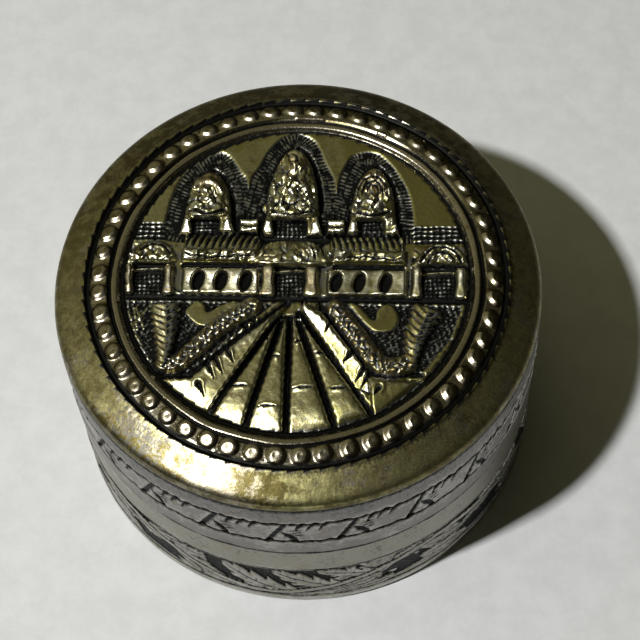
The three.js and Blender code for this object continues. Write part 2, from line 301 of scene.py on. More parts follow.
def flowing(points, closed=False, steps=6):
    """A smooth curve through a few points."""
    points = np.asarray(points, dtype=float)
    count = len(points)
    if closed:
        ring = [points[i % count] for i in range(-1, count + 2)]
    else:
        ring = [points[0], *points, points[-1]]
    curve = []
    for a, b, c, d in zip(ring, ring[1:], ring[2:], ring[3:]):
        for t in np.linspace(0, 1, steps, endpoint=False):
            curve.append(0.5 * (2 * b + (c - a) * t + (2 * a - 5 * b + 4 * c - d) * t**2
                                + (3 * b - a - 3 * c + d) * t**3))
    if not closed:
        curve.append(points[-1])
    return np.array(curve)


# A facet that climbs this steeply to the right and to the back catches the lamp
GLINT = (0.2, 0.435)


class ChasedSheet:
    """A sheet worked with punches: its height over the ground, and its finish from black to bright, which
    also holds painted highlights and painted shade.
    """

    def __init__(self, x, y):
        self.x = x
        self.y = y
        self.height = np.zeros(x.shape)
        self.finish = np.zeros(x.shape)
        self.copper_and_painted_light = np.zeros(x.shape)

    def near(self, path, margin):
        """Points of the sheet that a punch on this path can reach."""
        left, low = np.min(path, axis=0) - margin
        right, high = np.max(path, axis=0) + margin
        return np.flatnonzero((self.x > left) & (self.x < right) & (self.y > low) & (self.y < high))

    def follow(self, path, margin):
        """The points about a path, their distance from it, length along it and side, and its whole length."""
        spot = self.near(path, margin)
        return spot, *stretches(path, self.x[spot], self.y[spot])

    def blacken(self, spot, share):
        """Black laid in by a share from nothing to all."""
        self.finish[spot] = self.finish[spot] * (1 - share) - share

    def groove(self, path, width, depth, ends="even", burr=0.05):
        """A line driven in with a liner: a round cut with a small burr on both sides.

        Its ends are even, or both drawn to a point, or it narrows from its start like a wedge."""
        path = np.asarray(path, dtype=float)
        spot, gap, along, _, whole = self.follow(path, 2 * width)
        half = width / 2 * (1 + 0.12 * np.sin(along * 5.3 + path[0][0]))
        share = np.clip(along / whole, 0.02, 0.98)
        if ends == "pointed":
            half = half * np.sqrt(np.sin(math.pi * share))
        if ends == "wedge":
            half = half * (1.05 - share)
        cut = unit(1 - (gap / half) ** 2)
        lip = np.exp(-(((gap - 1.5 * half) / (0.5 * half + 0.05)) ** 2))
        self.height[spot] += burr * lip - depth * cut
        self.blacken(spot, unit(1.5 * cut))

    def depth_inside(self, outline):
        """The points about an outline, how far inside it each lies, and the length along its edge there."""
        outline = np.asarray(outline, dtype=float)
        spot, gap, along, _, _ = self.follow(np.vstack((outline, outline[:1])), 0)
        return spot, np.where(within(outline, self.x[spot], self.y[spot]), gap, -gap), along

    def raised(self, outline, rise, edge, polish=0.0, fresh=False, tilt=(0.0, 0.0)):
        """A form pushed up from behind, rounded over a width called edge; fresh clears what was there.

        tilt is how steeply its top climbs to the right and to the back."""
        spot, inside, _ = self.depth_inside(outline)
        share = unit(inside / edge)
        middle = np.mean(outline, axis=0)
        climb = tilt[0] * (self.x[spot] - middle[0]) + tilt[1] * (self.y[spot] - middle[1])
        lift = (rise + climb) * np.sqrt(1 - (1 - share) ** 2)
        old = np.where(fresh & (inside > 0), -1.0, self.height[spot])
        taller = (inside > 0) & (lift >= old)
        self.height[spot] = np.where(taller, lift, self.height[spot])
        cover = taller * unit(inside / 0.2)
        self.finish[spot] = self.finish[spot] * (1 - cover) + polish * cover

    def lump(self, x, y, half_width, half_height, rise, polish=0.3):
        """A rounded knob in a dark crease, on whatever is below it, its top turned to the light."""
        corner = 1.35 * np.array((half_width, half_height))
        spot = self.near(np.array([(x, y) - corner, (x, y) + corner]), 0)
        right, back = self.x[spot] - x, self.y[spot] - y
        out = np.hypot(right / half_width, back / half_height)
        dome = np.sqrt(unit(1 - out**2))
        crease = unit(1 - np.abs(out - 1.08) / 0.26)
        climb = hand.uniform(0.6, 1.15) * (GLINT[0] * right + GLINT[1] * back)
        self.height[spot] += (rise + climb) * dome - 0.16 * crease
        self.finish[spot] = np.where(out < 1, polish * dome, self.finish[spot])
        self.blacken(spot, 0.7 * crease)

    def faceted(self, outline, size, dimmest):
        """Uneven flats in dark creases over a patch, each turned to the light, the dimmest the least."""
        spot, inside, _ = self.depth_inside(outline)
        low, high = np.min(outline, axis=0), np.max(outline, axis=0)
        count = int(np.prod(high - low) / size**2) + 2
        seats = hand.uniform(low, high, (count, 2))
        turned = hand.uniform(dimmest, 1.2, count)
        level = hand.uniform(-0.12, 0.12, count)
        x, y = self.x[spot], self.y[spot]
        right = (x + 0.2 * np.sin(2.9 * y + 1.3) + 0.12 * np.sin(6.7 * y))[:, None] - seats[:, 0]
        back = (y + 0.2 * np.sin(3.3 * x) + 0.12 * np.sin(7.1 * x + 0.5))[:, None] - seats[:, 1]
        gaps = np.hypot(right, back)
        own = np.argmin(gaps, axis=1)
        rows = np.arange(len(spot))
        edge = np.partition(gaps, 1, axis=1)[:, 1] - gaps[rows, own]
        crease = unit(1 - edge / (0.26 + 0.12 * np.sin(4.3 * x + 3.7 * y)))
        climb = turned[own] * (GLINT[0] * right[rows, own] + GLINT[1] * back[rows, own])
        cover = unit(inside / 0.4)
        self.height[spot] += cover * (level[own] + climb - 0.15 * crease)
        # Flats turned more to the light are also painted brighter, as painted highlight
        self.finish[spot] += cover * 0.35 * turned[own]
        self.blacken(spot, 0.6 * cover * crease)

    def turned(self, outline, middles):
        """Stretches of a long form, each turned to the light about its own middle."""
        spot = self.near(outline, 0)
        middles = np.asarray(middles)
        middle = middles[np.argmin(np.abs(self.x[spot][:, None] - middles), axis=1)]
        self.height[spot] += GLINT[0] * (self.x[spot] - middle) * unit(self.height[spot])

    def bared(self, x, y, half_width, half_height, share):
        """A patch where the silvering has worn down to copper."""
        out = ((self.x - x) / half_width) ** 2 + ((self.y - y) / half_height) ** 2
        self.copper_and_painted_light = np.maximum(self.copper_and_painted_light, share * unit(2 - 2 * out))

    def ridge(self, path, width, rise, polish=0.4):
        """A rounded ridge along a path, laid on whatever is below it."""
        spot, gap, _, _, _ = self.follow(path, width)
        share = unit(1 - (2 * gap / width) ** 2)
        self.height[spot] += rise * np.sqrt(share)
        self.finish[spot] = self.finish[spot] * (1 - share) + polish * share

    def sunk(self, outline, depth, edge, black=1.0):
        """A patch driven below the ground and left black."""
        spot, inside, _ = self.depth_inside(outline)
        share = unit(inside / edge)
        self.height[spot] = self.height[spot] * (1 - share) - depth * share
        self.blacken(spot, black * share)

    def hatched(self, outline, pitch, height, angle, shine=0.5, cross=False):
        """Fine parallel strokes over a patch, or two sets that cross."""
        spot, inside, _ = self.depth_inside(outline)
        cover = unit(inside / 0.2)
        x, y = self.x[spot], self.y[spot]
        sway = 0.05 * np.sin(1.7 * x + 2.3 * y) + 0.04 * np.sin(3.1 * y - 1.3 * x)
        patchy = 0.55 + 0.45 * np.sin(2.1 * x + 0.4) * np.sin(1.7 * y - 0.9)
        for degrees in ([angle, angle + 90] if cross else [angle]):
            turn = math.radians(degrees)
            across = -x * math.sin(turn) + y * math.cos(turn) + sway
            ridge = 0.5 + 0.5 * np.cos(2 * math.pi * across / pitch)
            self.height[spot] += cover * height * (ridge - 0.5)
            self.finish[spot] += shine * cover * patchy * ridge**3

    def ticked(self, outline, pitch, height, column, shine):
        """Short strokes across a band that follows the edge of a patch, in rows that get darker inwards."""
        spot, inside, along = self.depth_inside(outline)
        row = np.floor(inside / column)
        across = 2 * (inside / column - row) - 1
        level = along / pitch + 0.37 * row + 0.25 * np.sin(0.9 * along) + 0.12 * across
        number = np.floor(level)
        bar = unit(1.2 - np.abs(level - number - 0.5) / 0.26)
        bar *= unit(1.5 - 1.5 * across**2)
        uneven = 0.2 + 0.8 * np.sin(12.99 * number + 4.1 * row) ** 2
        inner = inside > 0
        self.height[spot] += inner * height * uneven * (bar - 0.4)
        self.finish[spot] += inner * shine * uneven * bar / (1 + 0.25 * np.maximum(row, 0))

    def stippled(self, spot, size):
        """A ground matted with small round dots of a punch."""
        x, y = self.x[spot], self.y[spot]
        dots = np.sin(2 * math.pi * x / size + 1.3 * np.sin(3.1 * y))
        dots *= np.sin(2 * math.pi * y / size + np.sin(2.7 * x))
        self.height[spot] += 0.05 * dots
        # The highest dot tops are painted bright as painted glints
        self.finish[spot] += 0.28 * unit(dots) + 1.2 * unit(dots - 0.72)


class ChasedWall(ChasedSheet):
    """The outside of a round wall rolled out flat: x runs along one of its repeats and y is the height."""

    def __init__(self, piece, radius, start, repeats):
        self.piece = piece
        self.points = points_of(piece)
        self.turn = np.arctan2(self.points[:, 1], self.points[:, 0])
        self.reach = np.hypot(self.points[:, 0], self.points[:, 1])
        self.outside = self.reach > radius - 0.01
        self.skin = self.reach > radius - 0.5
        share = (self.turn - start) / (2 * math.pi) * repeats
        share -= np.round(share)
        sway = 0.012 * np.sin(3 * self.turn + 0.4) + 0.01 * np.sin(7 * self.turn)
        length = (share + sway * np.cos(math.pi * share)) * 2 * math.pi * radius / repeats
        out_of_reach = 1000.0
        super().__init__(np.where(self.outside, length, out_of_reach), self.points[:, 2])

    def beat(self, dent, fade):
        """Moves the wall's points by what was chased and by dents that fade by a share, and says how far."""
        dents = dent * hand_sway(self.points[:, 0], self.points[:, 1] + self.y, 2.5, 9.0)
        worked = eased(self.piece, np.where(self.outside, self.height + dents * fade, 0), 1)
        self.points[:, :2] *= (1 + worked / self.reach)[:, None]
        put_points(self.piece, self.points)
        return worked


def facing(turn, degrees):
    """1 on the side of the box that faces an angle, and nothing on the far half."""
    return unit(np.cos(turn - math.radians(degrees)))


_, base_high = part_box("base_wall")
base_radius = base_high[0] / MM
base_top = base_high[2] / MM
# Heights of the rolled foot's top, of the frieze and of the plain strip over it, and the dark seam's depth
FOOT_TOP = 2.0
FRIEZE_LOW = 2.1
FRIEZE_HIGH = 11.3
STRIP_LOW = 13.0
SEAM = 0.65
VINE_WAVES = 4
VINE_TROUGH = math.radians(-96)
wave_length = 2 * math.pi * base_radius / VINE_WAVES

frieze_rows = [(base_radius, z) for z in np.arange(1.5, 12.0, 0.19)]
base_wall = spun("chased_base_wall", [
    (base_radius - SHEET, 0.0),
    (base_radius - 0.8, 0.0),
    (base_radius - 0.35, 0.1),
    (base_radius - 0.1, 0.35),
    (base_radius, 0.8),
    *frieze_rows,
    (base_radius, 14.0),
    (base_radius, base_top - SEAM),
    (base_radius, base_top - 0.3),
    (base_radius - 0.06, base_top - 0.06),
    (base_radius - 0.2, base_top),
    (base_radius - SHEET, base_top),
    (base_radius - SHEET, 12.0),
], 1080)
frieze = ChasedWall(base_wall, base_radius, VINE_TROUGH, VINE_WAVES)


def acanthus(sheet, stalk, bend, tip, lobes, width):
    """A flat leaf along a bent rib: its edge is cut into pointed lobes, with a vein out to each of them."""
    rib = flowing([stalk, bend, tip], steps=10)
    spot, gap, along, side, whole = sheet.follow(rib, width)
    share = np.clip(along / whole, 0.0, 0.995)
    lobe = (share - 0.6 * gap / whole) * lobes + 0.3 * side
    tooth = lobe - np.floor(lobe)
    half = width / 2 * np.sin(math.pi * (0.15 + 0.85 * share)) ** 0.6 * (0.5 + 0.5 * tooth)
    covered = gap < half
    line = np.where(covered, 0, unit(1.6 - np.abs(gap - half) / 0.14))
    vein = unit(1.2 - np.abs(tooth - 0.6) * whole / lobes / 0.14)
    vein *= unit(1.3 - gap / half)
    vein = np.where(covered, np.maximum(0.7 * vein, unit(1.3 - gap / 0.14)), 0)
    sheet.height[spot] = np.where(covered, 0.06 - 0.08 * vein, sheet.height[spot] - 0.1 * line)
    sheet.finish[spot] = np.where(covered, 0.0, sheet.finish[spot])
    sheet.blacken(spot, np.maximum(0.95 * line, 0.8 * vein))


between = frieze.outside & (frieze.y > FRIEZE_LOW) & (frieze.y < FRIEZE_HIGH)
frieze.height[between] = -0.08
frieze.finish[between] = -0.12
# Black matted patches between the leaves, then the leaves by stalk, bend, tip, pairs of lobes and size
PATCHES = (
    [(-9.6, 10.9), (-9.2, 7.4), (-7.2, 5.4), (-3.5, 4.3), (1.5, 4.0), (6.5, 5.4), (10.8, 8.6),
     (14.2, 10.9)],
    [(14.8, 3.6), (15.0, 5.6), (17.0, 7.6), (21.0, 8.0), (22.8, 6.0), (21.4, 3.6), (18.0, 3.0)],
    [(27.4, 2.6), (27.6, 5.6), (30.5, 6.8), (34.0, 5.6), (37.0, 2.6)],
    [(37.0, 10.9), (38.4, 9.0), (40.2, 10.9)],
    [(-20.0, 3.0), (-18.6, 6.4), (-15.0, 7.6), (-12.6, 4.6), (-15.4, 2.8)],
    [(-24.5, 10.8), (-22.0, 7.0), (-19.4, 8.6), (-17.4, 10.8)],
)
LEAVES = (
    ((5.0, 3.2), (9.6, 4.0), (15.2, 5.8), 4, 3.8),
    ((9.6, 2.6), (13.4, 3.0), (17.4, 3.4), 3, 2.2),
    ((4.2, 3.4), (-0.6, 5.6), (-6.6, 10.4), 4, 5.4),
    ((9.4, 5.2), (5.8, 7.2), (1.2, 10.6), 4, 4.2),
    ((13.4, 7.6), (10.8, 8.8), (7.0, 10.8), 3, 3.0),
    ((17.4, 9.6), (22.6, 9.2), (29.0, 6.6), 4, 3.4),
    ((21.6, 5.2), (25.2, 4.8), (29.4, 3.0), 3, 3.0),
    ((24.4, 9.8), (30.0, 8.8), (37.0, 10.2), 4, 3.4),
    ((30.4, 8.4), (34.8, 6.8), (39.6, 2.8), 4, 4.6),
    ((36.0, 7.8), (40.4, 6.2), (45.4, 3.0), 4, 3.4),
    ((35.8, 9.2), (39.2, 9.4), (42.0, 10.8), 3, 2.6),
)
# Small burrs standing in the patches, painted bright as painted glints, by place and half length
GLINT_SPECKS = ((-3.2, 5.0, 0.5), (-2.4, 4.8, 0.4), (0.6, 4.3, 0.7), (1.6, 4.2, 0.4), (11.2, 9.9, 0.6),
          (12.6, 10.2, 0.5), (16.6, 4.4, 0.7), (20.4, 6.8, 0.4))
# The stem's middle height, how far it swings up and down, and half its width
STEM_MIDDLE = 6.6
STEM_SWING = 3.3
STEM_HALF = 0.62
for shift in (-wave_length, 0, wave_length):
    for patch in PATCHES:
        outline = np.array(patch) + (shift, 0)
        frieze.sunk(outline, depth=0.24, edge=0.3)
        spot, inside, _ = frieze.depth_inside(outline)
        frieze.stippled(spot[inside > 0.2], size=0.62)
    for stalk, bend, tip, lobes, size in LEAVES:
        acanthus(frieze, *(np.array(place) + (shift, 0) for place in (stalk, bend, tip)), lobes, size)
    # Painted glints on small raised burrs
    for x, y, size in GLINT_SPECKS:
        frieze.lump(x + shift, y, size, 0.6 * size, rise=0.1, polish=0.9)
along = np.linspace(-wave_length / 2 - 2, wave_length / 2 + 2, 60)
stem = np.column_stack((along, STEM_MIDDLE - STEM_SWING * np.cos(2 * math.pi * along / wave_length)))
spot, gap, _, _, _ = frieze.follow(stem, 1.5)
on_stem = spot[gap < STEM_HALF]
frieze.height[on_stem] = 0.08
frieze.finish[on_stem] = 0.05
for offset in (-STEM_HALF, STEM_HALF):
    frieze.groove(stem + (0, offset), 0.36, 0.18, burr=0.02)
for z in (FRIEZE_LOW, FRIEZE_HIGH):
    frieze.groove([(-wave_length, z), (wave_length, z)], 0.42, 0.2, burr=0.03)
worked = frieze.beat(0.035, unit(frieze.y / FOOT_TOP))
# The seam under the lid is black and the plain strip below it a little grey; the foot is painted bright, both
# as rubbed wear and as painted sheen on its rounded edge
strip = 0.06 * unit(frieze.y - STRIP_LOW)
frieze.finish -= np.clip(3 * (frieze.y - base_top + SEAM), strip, 1)
frieze.finish += 0.45 * unit(1.3 * (FOOT_TOP - frieze.y))
darkening = 0.08 * unit(frieze.y - STRIP_LOW + 1)
# The front right of the wall is painted darker as painted shade
store(base_wall, "tarnish_and_painted_light", 0.09 * facing(frieze.turn, -30) + darkening)
mark_relief(base_wall, worked, 0.16, np.where(frieze.skin, frieze.finish, 0))
base_wall.data.materials.append(side_metal)
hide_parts("base_wall")
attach(base_wall, "base")

# Collar
# A plain ring soldered inside the base wall, which the lid slips over.
# Its top edge is eased.

collar_low, collar_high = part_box("inner_collar")
collar_radius = collar_high[0] / MM
collar_foot = collar_low[2] / MM
collar_top = collar_high[2] / MM
collar = spun("slip_collar", [
    (collar_radius - SHEET, collar_foot),
    (collar_radius, collar_foot),
    (collar_radius, collar_top - 0.45),
    (collar_radius - 0.12, collar_top - 0.12),
    (collar_radius - 0.45, collar_top),
    (collar_radius - 0.75, collar_top - 0.05),
    (collar_radius - SHEET, collar_top - 0.25),
], 240)
collar.data.materials.append(side_metal)
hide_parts("inner_collar")
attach(collar, "base")

# Lid band
# A strip of sheet soldered under the rim of the lid's top.
# Two chased lines run round it, with a border of slanting strokes between them.

band_low, band_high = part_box("lid_band")
band_radius = band_high[0] / MM
band_foot = band_low[2] / MM
band_top = band_high[2] / MM
BAND_STRIP = 20.0
BORDER_LOW = 21.8
BORDER_HIGH = 27.2
BORDER_MIDDLE = (BORDER_LOW + BORDER_HIGH) / 2
BORDER_REPEATS = 22
BORDER_START = math.radians(-92.5)
BAND_SHEET = 1.0
BAND_SEAM = 0.5
UNDER_RIM_SHADOW = 30.6

lid_band = spun("chased_lid_band", [
    (band_radius - BAND_SHEET, band_foot),
    (band_radius - 0.2, band_foot),
    (band_radius - 0.06, band_foot + 0.06),
    (band_radius, band_foot + 0.25),
    (band_radius, band_foot + BAND_SEAM),
    (band_radius, 19.5),
    *[(band_radius, z) for z in np.arange(21.0, 28.0, 0.17)],
    (band_radius, 29.0),
    (band_radius, 30.5),
    (band_radius, 31.0),
    (band_radius, band_top),
    (band_radius - BAND_SHEET, band_top),
    (band_radius - BAND_SHEET, 25.0),
], 1200)
strokes = ChasedWall(lid_band, band_radius, BORDER_START, BORDER_REPEATS)
for z in (BORDER_LOW, BORDER_HIGH):
    ragged = [(u, z + 0.12 * math.sin(2.9 * u + z)) for u in np.arange(-5, 5.1, 0.5)]
    strokes.groove(ragged, 0.8, 0.3, burr=0.04)
strokes.groove([(-1.3, BORDER_LOW), (-0.3, 24.1), (1.1, BORDER_HIGH)], 0.95, 0.3)
strokes.groove([(0.6, 24.8), (2.5, 22.0)], 1.2, 0.3, "pointed")
for rise in (0.0, 0.8, 1.6):
    strokes.groove([(1.5 + 0.1 * rise, 23.6 + rise), (3.2, 23.9 + rise)], 0.34, 0.14, "pointed", 0.02)
for start in (-5.0, -3.4, 2.7, 4.1):
    strokes.groove([(start + 0.6, BORDER_HIGH), (start, 26.4), (start - 0.5, 25.2)], 1.25, 0.28, "wedge")
worked = strokes.beat(0.03, unit(2 * (strokes.y - band_foot)))
# The seam at its foot is black; the strip over the border is painted darker and the top, at its joint under
# the rim, painted black as painted shade under the rim; its front right is painted lighter as painted light
strip = 0.06 * unit(BAND_STRIP - strokes.y)
strokes.finish -= np.clip(4 * (band_foot + BAND_SEAM - strokes.y), strip, 1)
# Painted shade under the rim
strokes.finish -= 0.3 * unit(strokes.y - BORDER_HIGH - 0.6) + unit(strokes.y - UNDER_RIM_SHADOW)
# Painted light on the front right
strokes.finish += 0.1 * facing(strokes.turn, -45)
store(lid_band, "tarnish_and_painted_light", 0.1 * unit(np.abs(strokes.y - BORDER_MIDDLE) - 3))
mark_relief(lid_band, worked, 0.16, np.where(strokes.skin, strokes.finish, 0))
band_metal = metal_finish(
    "dull_white_metal",
    grain_depth=0.00001,
    dullness=0.11,
    Metal=(0.29, 0.273, 0.255),
    Tarnish=(0.19, 0.174, 0.163),
    Brown=(0.17, 0.145, 0.10),
    Copper=(0.40, 0.26, 0.18),
    Grey=(0.10, 0.10, 0.098),
    Black=(0.012, 0.012, 0.012),
    Bright=(0.40, 0.39, 0.36),
)
lid_band.data.materials.append(band_metal)
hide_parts("lid_band")
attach(lid_band, "lid")

# Lid picture
# The middle of the lid's top sheet, raised from behind and chased from the front:
# a temple with three towers, its gallery, a paved way and two serpent balustrades.

GROUND = 34.6
FIELD_RADIUS = 22.5
FIELD_TEETH = 76
EDGE_DEPTH = 0.35
# How far back a millimetre of height looks from the front
SET_BACK = 0.52


def oval(x, y, half_width, half_height, lean=0.0):
    """An upright oval outline that leans to the right at its top."""
    turn = np.linspace(0, 2 * math.pi, 28, endpoint=False)
    right, up = np.cos(turn), np.sin(turn)
    return np.column_stack((x + half_width * right + lean * up, y + half_height * up))


def bud(axis, half_width, foot, tip):
    """A lotus-bud outline: straight sides for the lower part of its height, then an arch to its tip."""
    spring = foot + 0.3 * (tip - foot)
    turn = np.linspace(0, math.pi, 25)
    arch = zip(axis + half_width * np.cos(turn), spring + (tip - spring) * np.sin(turn) ** 1.15)
    return np.array([(axis - half_width, foot), (axis + half_width, foot), *arch])


def oblong(left, foot, right, top):
    """A four-sided upright outline."""
    return np.array([(left, foot), (right, foot), (right, top), (left, top)])


def square_to_disc(a, b):
    """Shares a and b from -1 to 1 of a square grid, moved to a disc of equal cells."""
    wide = np.abs(a) > np.abs(b)
    safe_a = np.where(wide, a, 1)
    safe_b = np.where(wide | (b == 0), 1, b)
    reach = np.where(wide, a, b)
    turn = np.where(wide, math.pi / 4 * b / safe_a, math.pi / 2 - math.pi / 4 * a / safe_b)
    return reach * np.cos(turn), reach * np.sin(turn)


def round_sheet(name, cells, radius, height):
    """A round sheet of small cells, in millimetres."""
    bpy.ops.object.select_all(action="DESELECT")
    bpy.ops.mesh.primitive_grid_add(x_subdivisions=cells, y_subdivisions=cells, size=2 * MM)
    piece = bpy.context.object
    piece.name = name
    grid = points_of(piece)
    x, y = square_to_disc(grid[:, 0], grid[:, 1])
    put_points(piece, np.column_stack((radius * x, radius * y, np.full(x.shape, height))))
    return piece


picture = round_sheet("lid_picture", 304, FIELD_RADIUS, GROUND)
ground = points_of(picture)
work = ChasedSheet(ground[:, 0], ground[:, 1])

# Places of the temple's courses, from the foot of its towers down to the line that it stands on
TOWER_FOOT = 5.9
ROOF_TOP = 6.0
ROOF_FOOT = 3.6
CORNICE_TOP = 3.9
CORNICE_FOOT = 1.95
WALL_TOP = 0.9
WALL_FOOT = -2.95
PORCH_FOOT = -3.3
COURT_LINE = -3.5
# Each tower: the axis, half width and tip of its body
TOWERS = ((-12.1, 3.2, 15.9), (-0.9, 3.6, 19.7), (9.8, 3.1, 16.8))
# The outline of the dark band behind each tower, from its left foot over the crest
SURROUNDS = (
    [(-18.0, 5.2), (-17.9, 8.0), (-17.2, 12.0), (-16.3, 14.7), (-14.6, 17.0), (-11.6, 19.0), (-9.8, 18.6),
     (-8.1, 16.0), (-7.0, 13.8), (-6.6, 5.2)],
    [(-7.2, 5.2), (-7.0, 13.8), (-5.7, 17.0), (-4.4, 19.8), (-2.5, 21.8), (-0.3, 22.3), (1.9, 20.8),
     (3.2, 17.7), (4.7, 13.8), (4.9, 5.2)],
    [(4.6, 5.2), (4.9, 13.9), (6.0, 17.7), (7.2, 19.1), (10.1, 19.3), (12.6, 16.7), (14.6, 12.6),
     (15.3, 8.0), (15.2, 5.2)],
)


def surrounds():
    """The dark bands behind the towers, struck with rows of short ticks that follow their edges."""
    for points in SURROUNDS:
        outline = flowing(points, closed=True)
        work.sunk(outline, 0.22, 0.2, 0.9)
        work.ticked(outline, 0.55, 0.1, 1.0, 0.95)
    for axis, half, tip in TOWERS:
        work.sunk(bud(axis, half + 0.25, TOWER_FOOT - 1, tip + 0.3), 0.4, 0.3)


def towers():
    """Lotus-bud towers: flared posts, a dark door and a bowed lintel below, a swelling bud above."""
    # Each layer of a post: how far in its corners stand, the heights of its head, rise, edge, polish and tilt
    posts = (
        ((-0.2, 1.3, 0.95, 0.1), (3.1, 3.1), 0.95, 0.3, 0.15, (0.12, 0.2)),
        ((-0.5, 1.3, 1.0, 0.1), (2.2, 2.5), 1.1, 0.18, 0.4, GLINT),
    )
    for axis, half, tip in TOWERS:
        left, right = axis - half, axis + half
        work.raised(bud(axis, half, TOWER_FOOT, tip), 1.05, half, -0.05)
        crown = tip - (2.2 if axis == TOWERS[0][0] else 0.2)
        work.faceted(bud(axis, half - 0.1, TOWER_FOOT + 3.4, crown), 1.35, -0.3)
        door = oblong(left + 0.9, TOWER_FOOT - 0.2, right - 1.5, TOWER_FOOT + 2.7)
        work.sunk(door, 0.1, 0.25)
        work.hatched(door, 0.6, 0.12, 2, cross=True)
        for side in (-1, 1):
            for insets, heads, rise, edge, polish, tilt in posts:
                corners = zip(insets, (0.1, 0.1, *heads))
                outline = [(axis + side * (half - inset), TOWER_FOOT + up) for inset, up in corners]
                work.raised(outline, rise, edge, polish, tilt=tilt)
        bow = flowing([(left + 0.9, 3.3), (axis, 2.8), (right - 1.1, 3.4)]) + (0, TOWER_FOOT)
        work.ridge(bow, 0.5, 0.45)
        work.groove(bow + (0.1, 0.55), 0.55, 0.45)
        work.groove(bud(axis, half + 0.1, TOWER_FOOT, tip + 0.15)[2:14], 0.8, 0.5)


def tower_lumps():
    """The few rounded knobs, and the beaded gables, on the towers."""
    knobs = (
        (-13.7, 10.6, 1.1, 0.9), (-12.2, 11.3, 1.0, 0.9), (-12.6, 12.8, 0.8, 0.7),
        (-4.0, 10.6, 1.0, 0.9), (-2.4, 10.5, 0.9, 0.8), (0.3, 10.9, 0.8, 0.7), (-1.2, 12.4, 0.9, 1.2),
        (-1.3, 18.3, 0.7, 0.7), (-3.8, 13.4, 0.6, 1.2),
        (7.2, 10.8, 0.6, 0.9), (9.0, 11.4, 0.9, 0.7), (10.4, 10.8, 0.7, 0.7), (11.7, 8.4, 0.9, 1.0),
    )
    for x, y, half_width, half_height in knobs:
        work.lump(x, y - 0.2, half_width, half_height, 0.2, 0.45)
    gables = (
        ([(-14.2, 13.4), (-13.6, 14.2), (-12.4, 14.5), (-11.2, 13.9), (-10.4, 12.6)], 0.9, 0.35, 0.4),
        ([(-14.7, 12.4), (-13.9, 14.6), (-12.1, 15.4), (-10.4, 14.6), (-9.5, 12.6)], 0.7, 0.25, 0.1),
        ([(-2.4, 11.6), (-2.0, 13.2), (-1.2, 14.9)], 0.7, 0.3, 0.2),
        ([(-1.2, 14.9), (0.0, 14.2), (0.9, 12.8), (1.4, 11.2)], 1.1, 0.4, 0.5),
    )
    for points, width, rise, polish in gables:
        work.ridge(flowing(points), width, rise, polish)
    for x, y in ((-0.5, 14.5), (0.3, 13.6), (0.8, 12.7), (1.2, 11.8)):
        work.groove([(x - 0.5, y - 0.3), (x + 0.6, y + 0.3)], 0.3, 0.2, "pointed", 0.0)
    for patch in ((-12.0, 14.6, 2.8, 2.0, 0.65), (9.9, 14.4, 2.6, 2.6, 0.7), (-0.4, 16.6, 2.4, 2.6, 0.5)):
        work.bared(*patch)
    arch = np.array([(-2.3, -1.6), (-1.7, 0.9), (-0.1, 2.2), (1.4, 1.2), (2.2, -1.4)])
    for size in (1.0, 0.66, 0.36):
        work.groove(flowing(arch * size + (9.7, 13.3)), 0.34, 0.22, "pointed", 0.1)


def blocks():
    """Low wall blocks between the towers and stepped wings outside them."""
    for left, right in ((-7.9, -5.3), (3.7, 6.1)):
        for foot in (6.3, 7.45):
            work.raised(oblong(left, foot, right, foot + 0.95), 0.8, 0.2, 0.4, tilt=(0.16, 0.42))
        work.hatched(oblong(left, 8.5, right, 10.2), 0.75, 0.14, 90, 0.3)
    for left, right in ((-22.3, -17.6), (15.0, 22.0)):
        outline = oblong(left, 4.9, right, 7.9)
        work.sunk(outline, 0.05, 0.3)
        work.hatched(outline, 0.72, 0.22, 2, 0.9)
        work.hatched(outline, 0.8, 0.14, 90, 0.25)


def gallery():
    """The long gallery: slanting roof strokes, a cornice and a wall with oval windows."""
    for left, right, lean in ((-15.0, -5.0, 1), (4.2, 13.9, -1)):
        work.raised(oblong(left, ROOF_FOOT, right, ROOF_TOP), 0.5, 0.3, -0.1, fresh=True)
        for x in np.linspace(left + 0.5, right - 0.5, 11):
            stroke = [(x + 0.6 * lean, ROOF_TOP + 0.2), (x, 5.0), (x - 0.3 * lean, ROOF_FOOT + 0.2)]
            work.groove(stroke, 0.85, 0.35, "wedge")
    for left, right in ((-15.2, -5.2), (4.6, 14.2)):
        cornice = oblong(left, CORNICE_FOOT, right, CORNICE_TOP)
        work.raised(cornice, 1.0, 0.5, 0.1, tilt=(0.0, 0.1))
        work.faceted(cornice, 1.15, 0.55 if left < 0 else 0.25)
        along = np.linspace(left + 0.4, right - 0.4, 40)
        crack = 2.75 + 0.2 * np.sin(0.8 * along + 1) + 0.12 * np.sin(2.9 * along)
        work.groove(np.stack((along, crack), 1), 0.3, 0.2, burr=0.08)
        work.raised(oblong(left, 1.4, right, 1.9), 0.5, 0.3)
        work.sunk(oblong(left, 0.85, right, 1.75), 0.25, 0.25)
    # Each stretch of wall turns to the light between its windows, which lean a little
    walls = ((-14.9, -4.7, -14.9, 0.24, (-12.8, -9.8, -6.6)), (4.0, 14.4, 10.0, 0.1, (5.2, 8.2, 11.6)))
    for left, right, bright, climb, windows in walls:
        work.raised(oblong(left, WALL_FOOT, right, WALL_TOP), 0.85, 0.4, 0.35, tilt=(0.0, climb))
        middles = [(first + second) / 2 for first, second in zip((left, *windows), (*windows, right))]
        work.turned(oblong(bright, WALL_FOOT, right, WALL_TOP), middles)
        for x in windows:
            work.sunk(oval(x, -1.0, 0.85, 1.55, 0.22), 0.1, 0.25)
    work.groove([(-22.6, COURT_LINE), (22.0, COURT_LINE)], 1.1, 0.35)


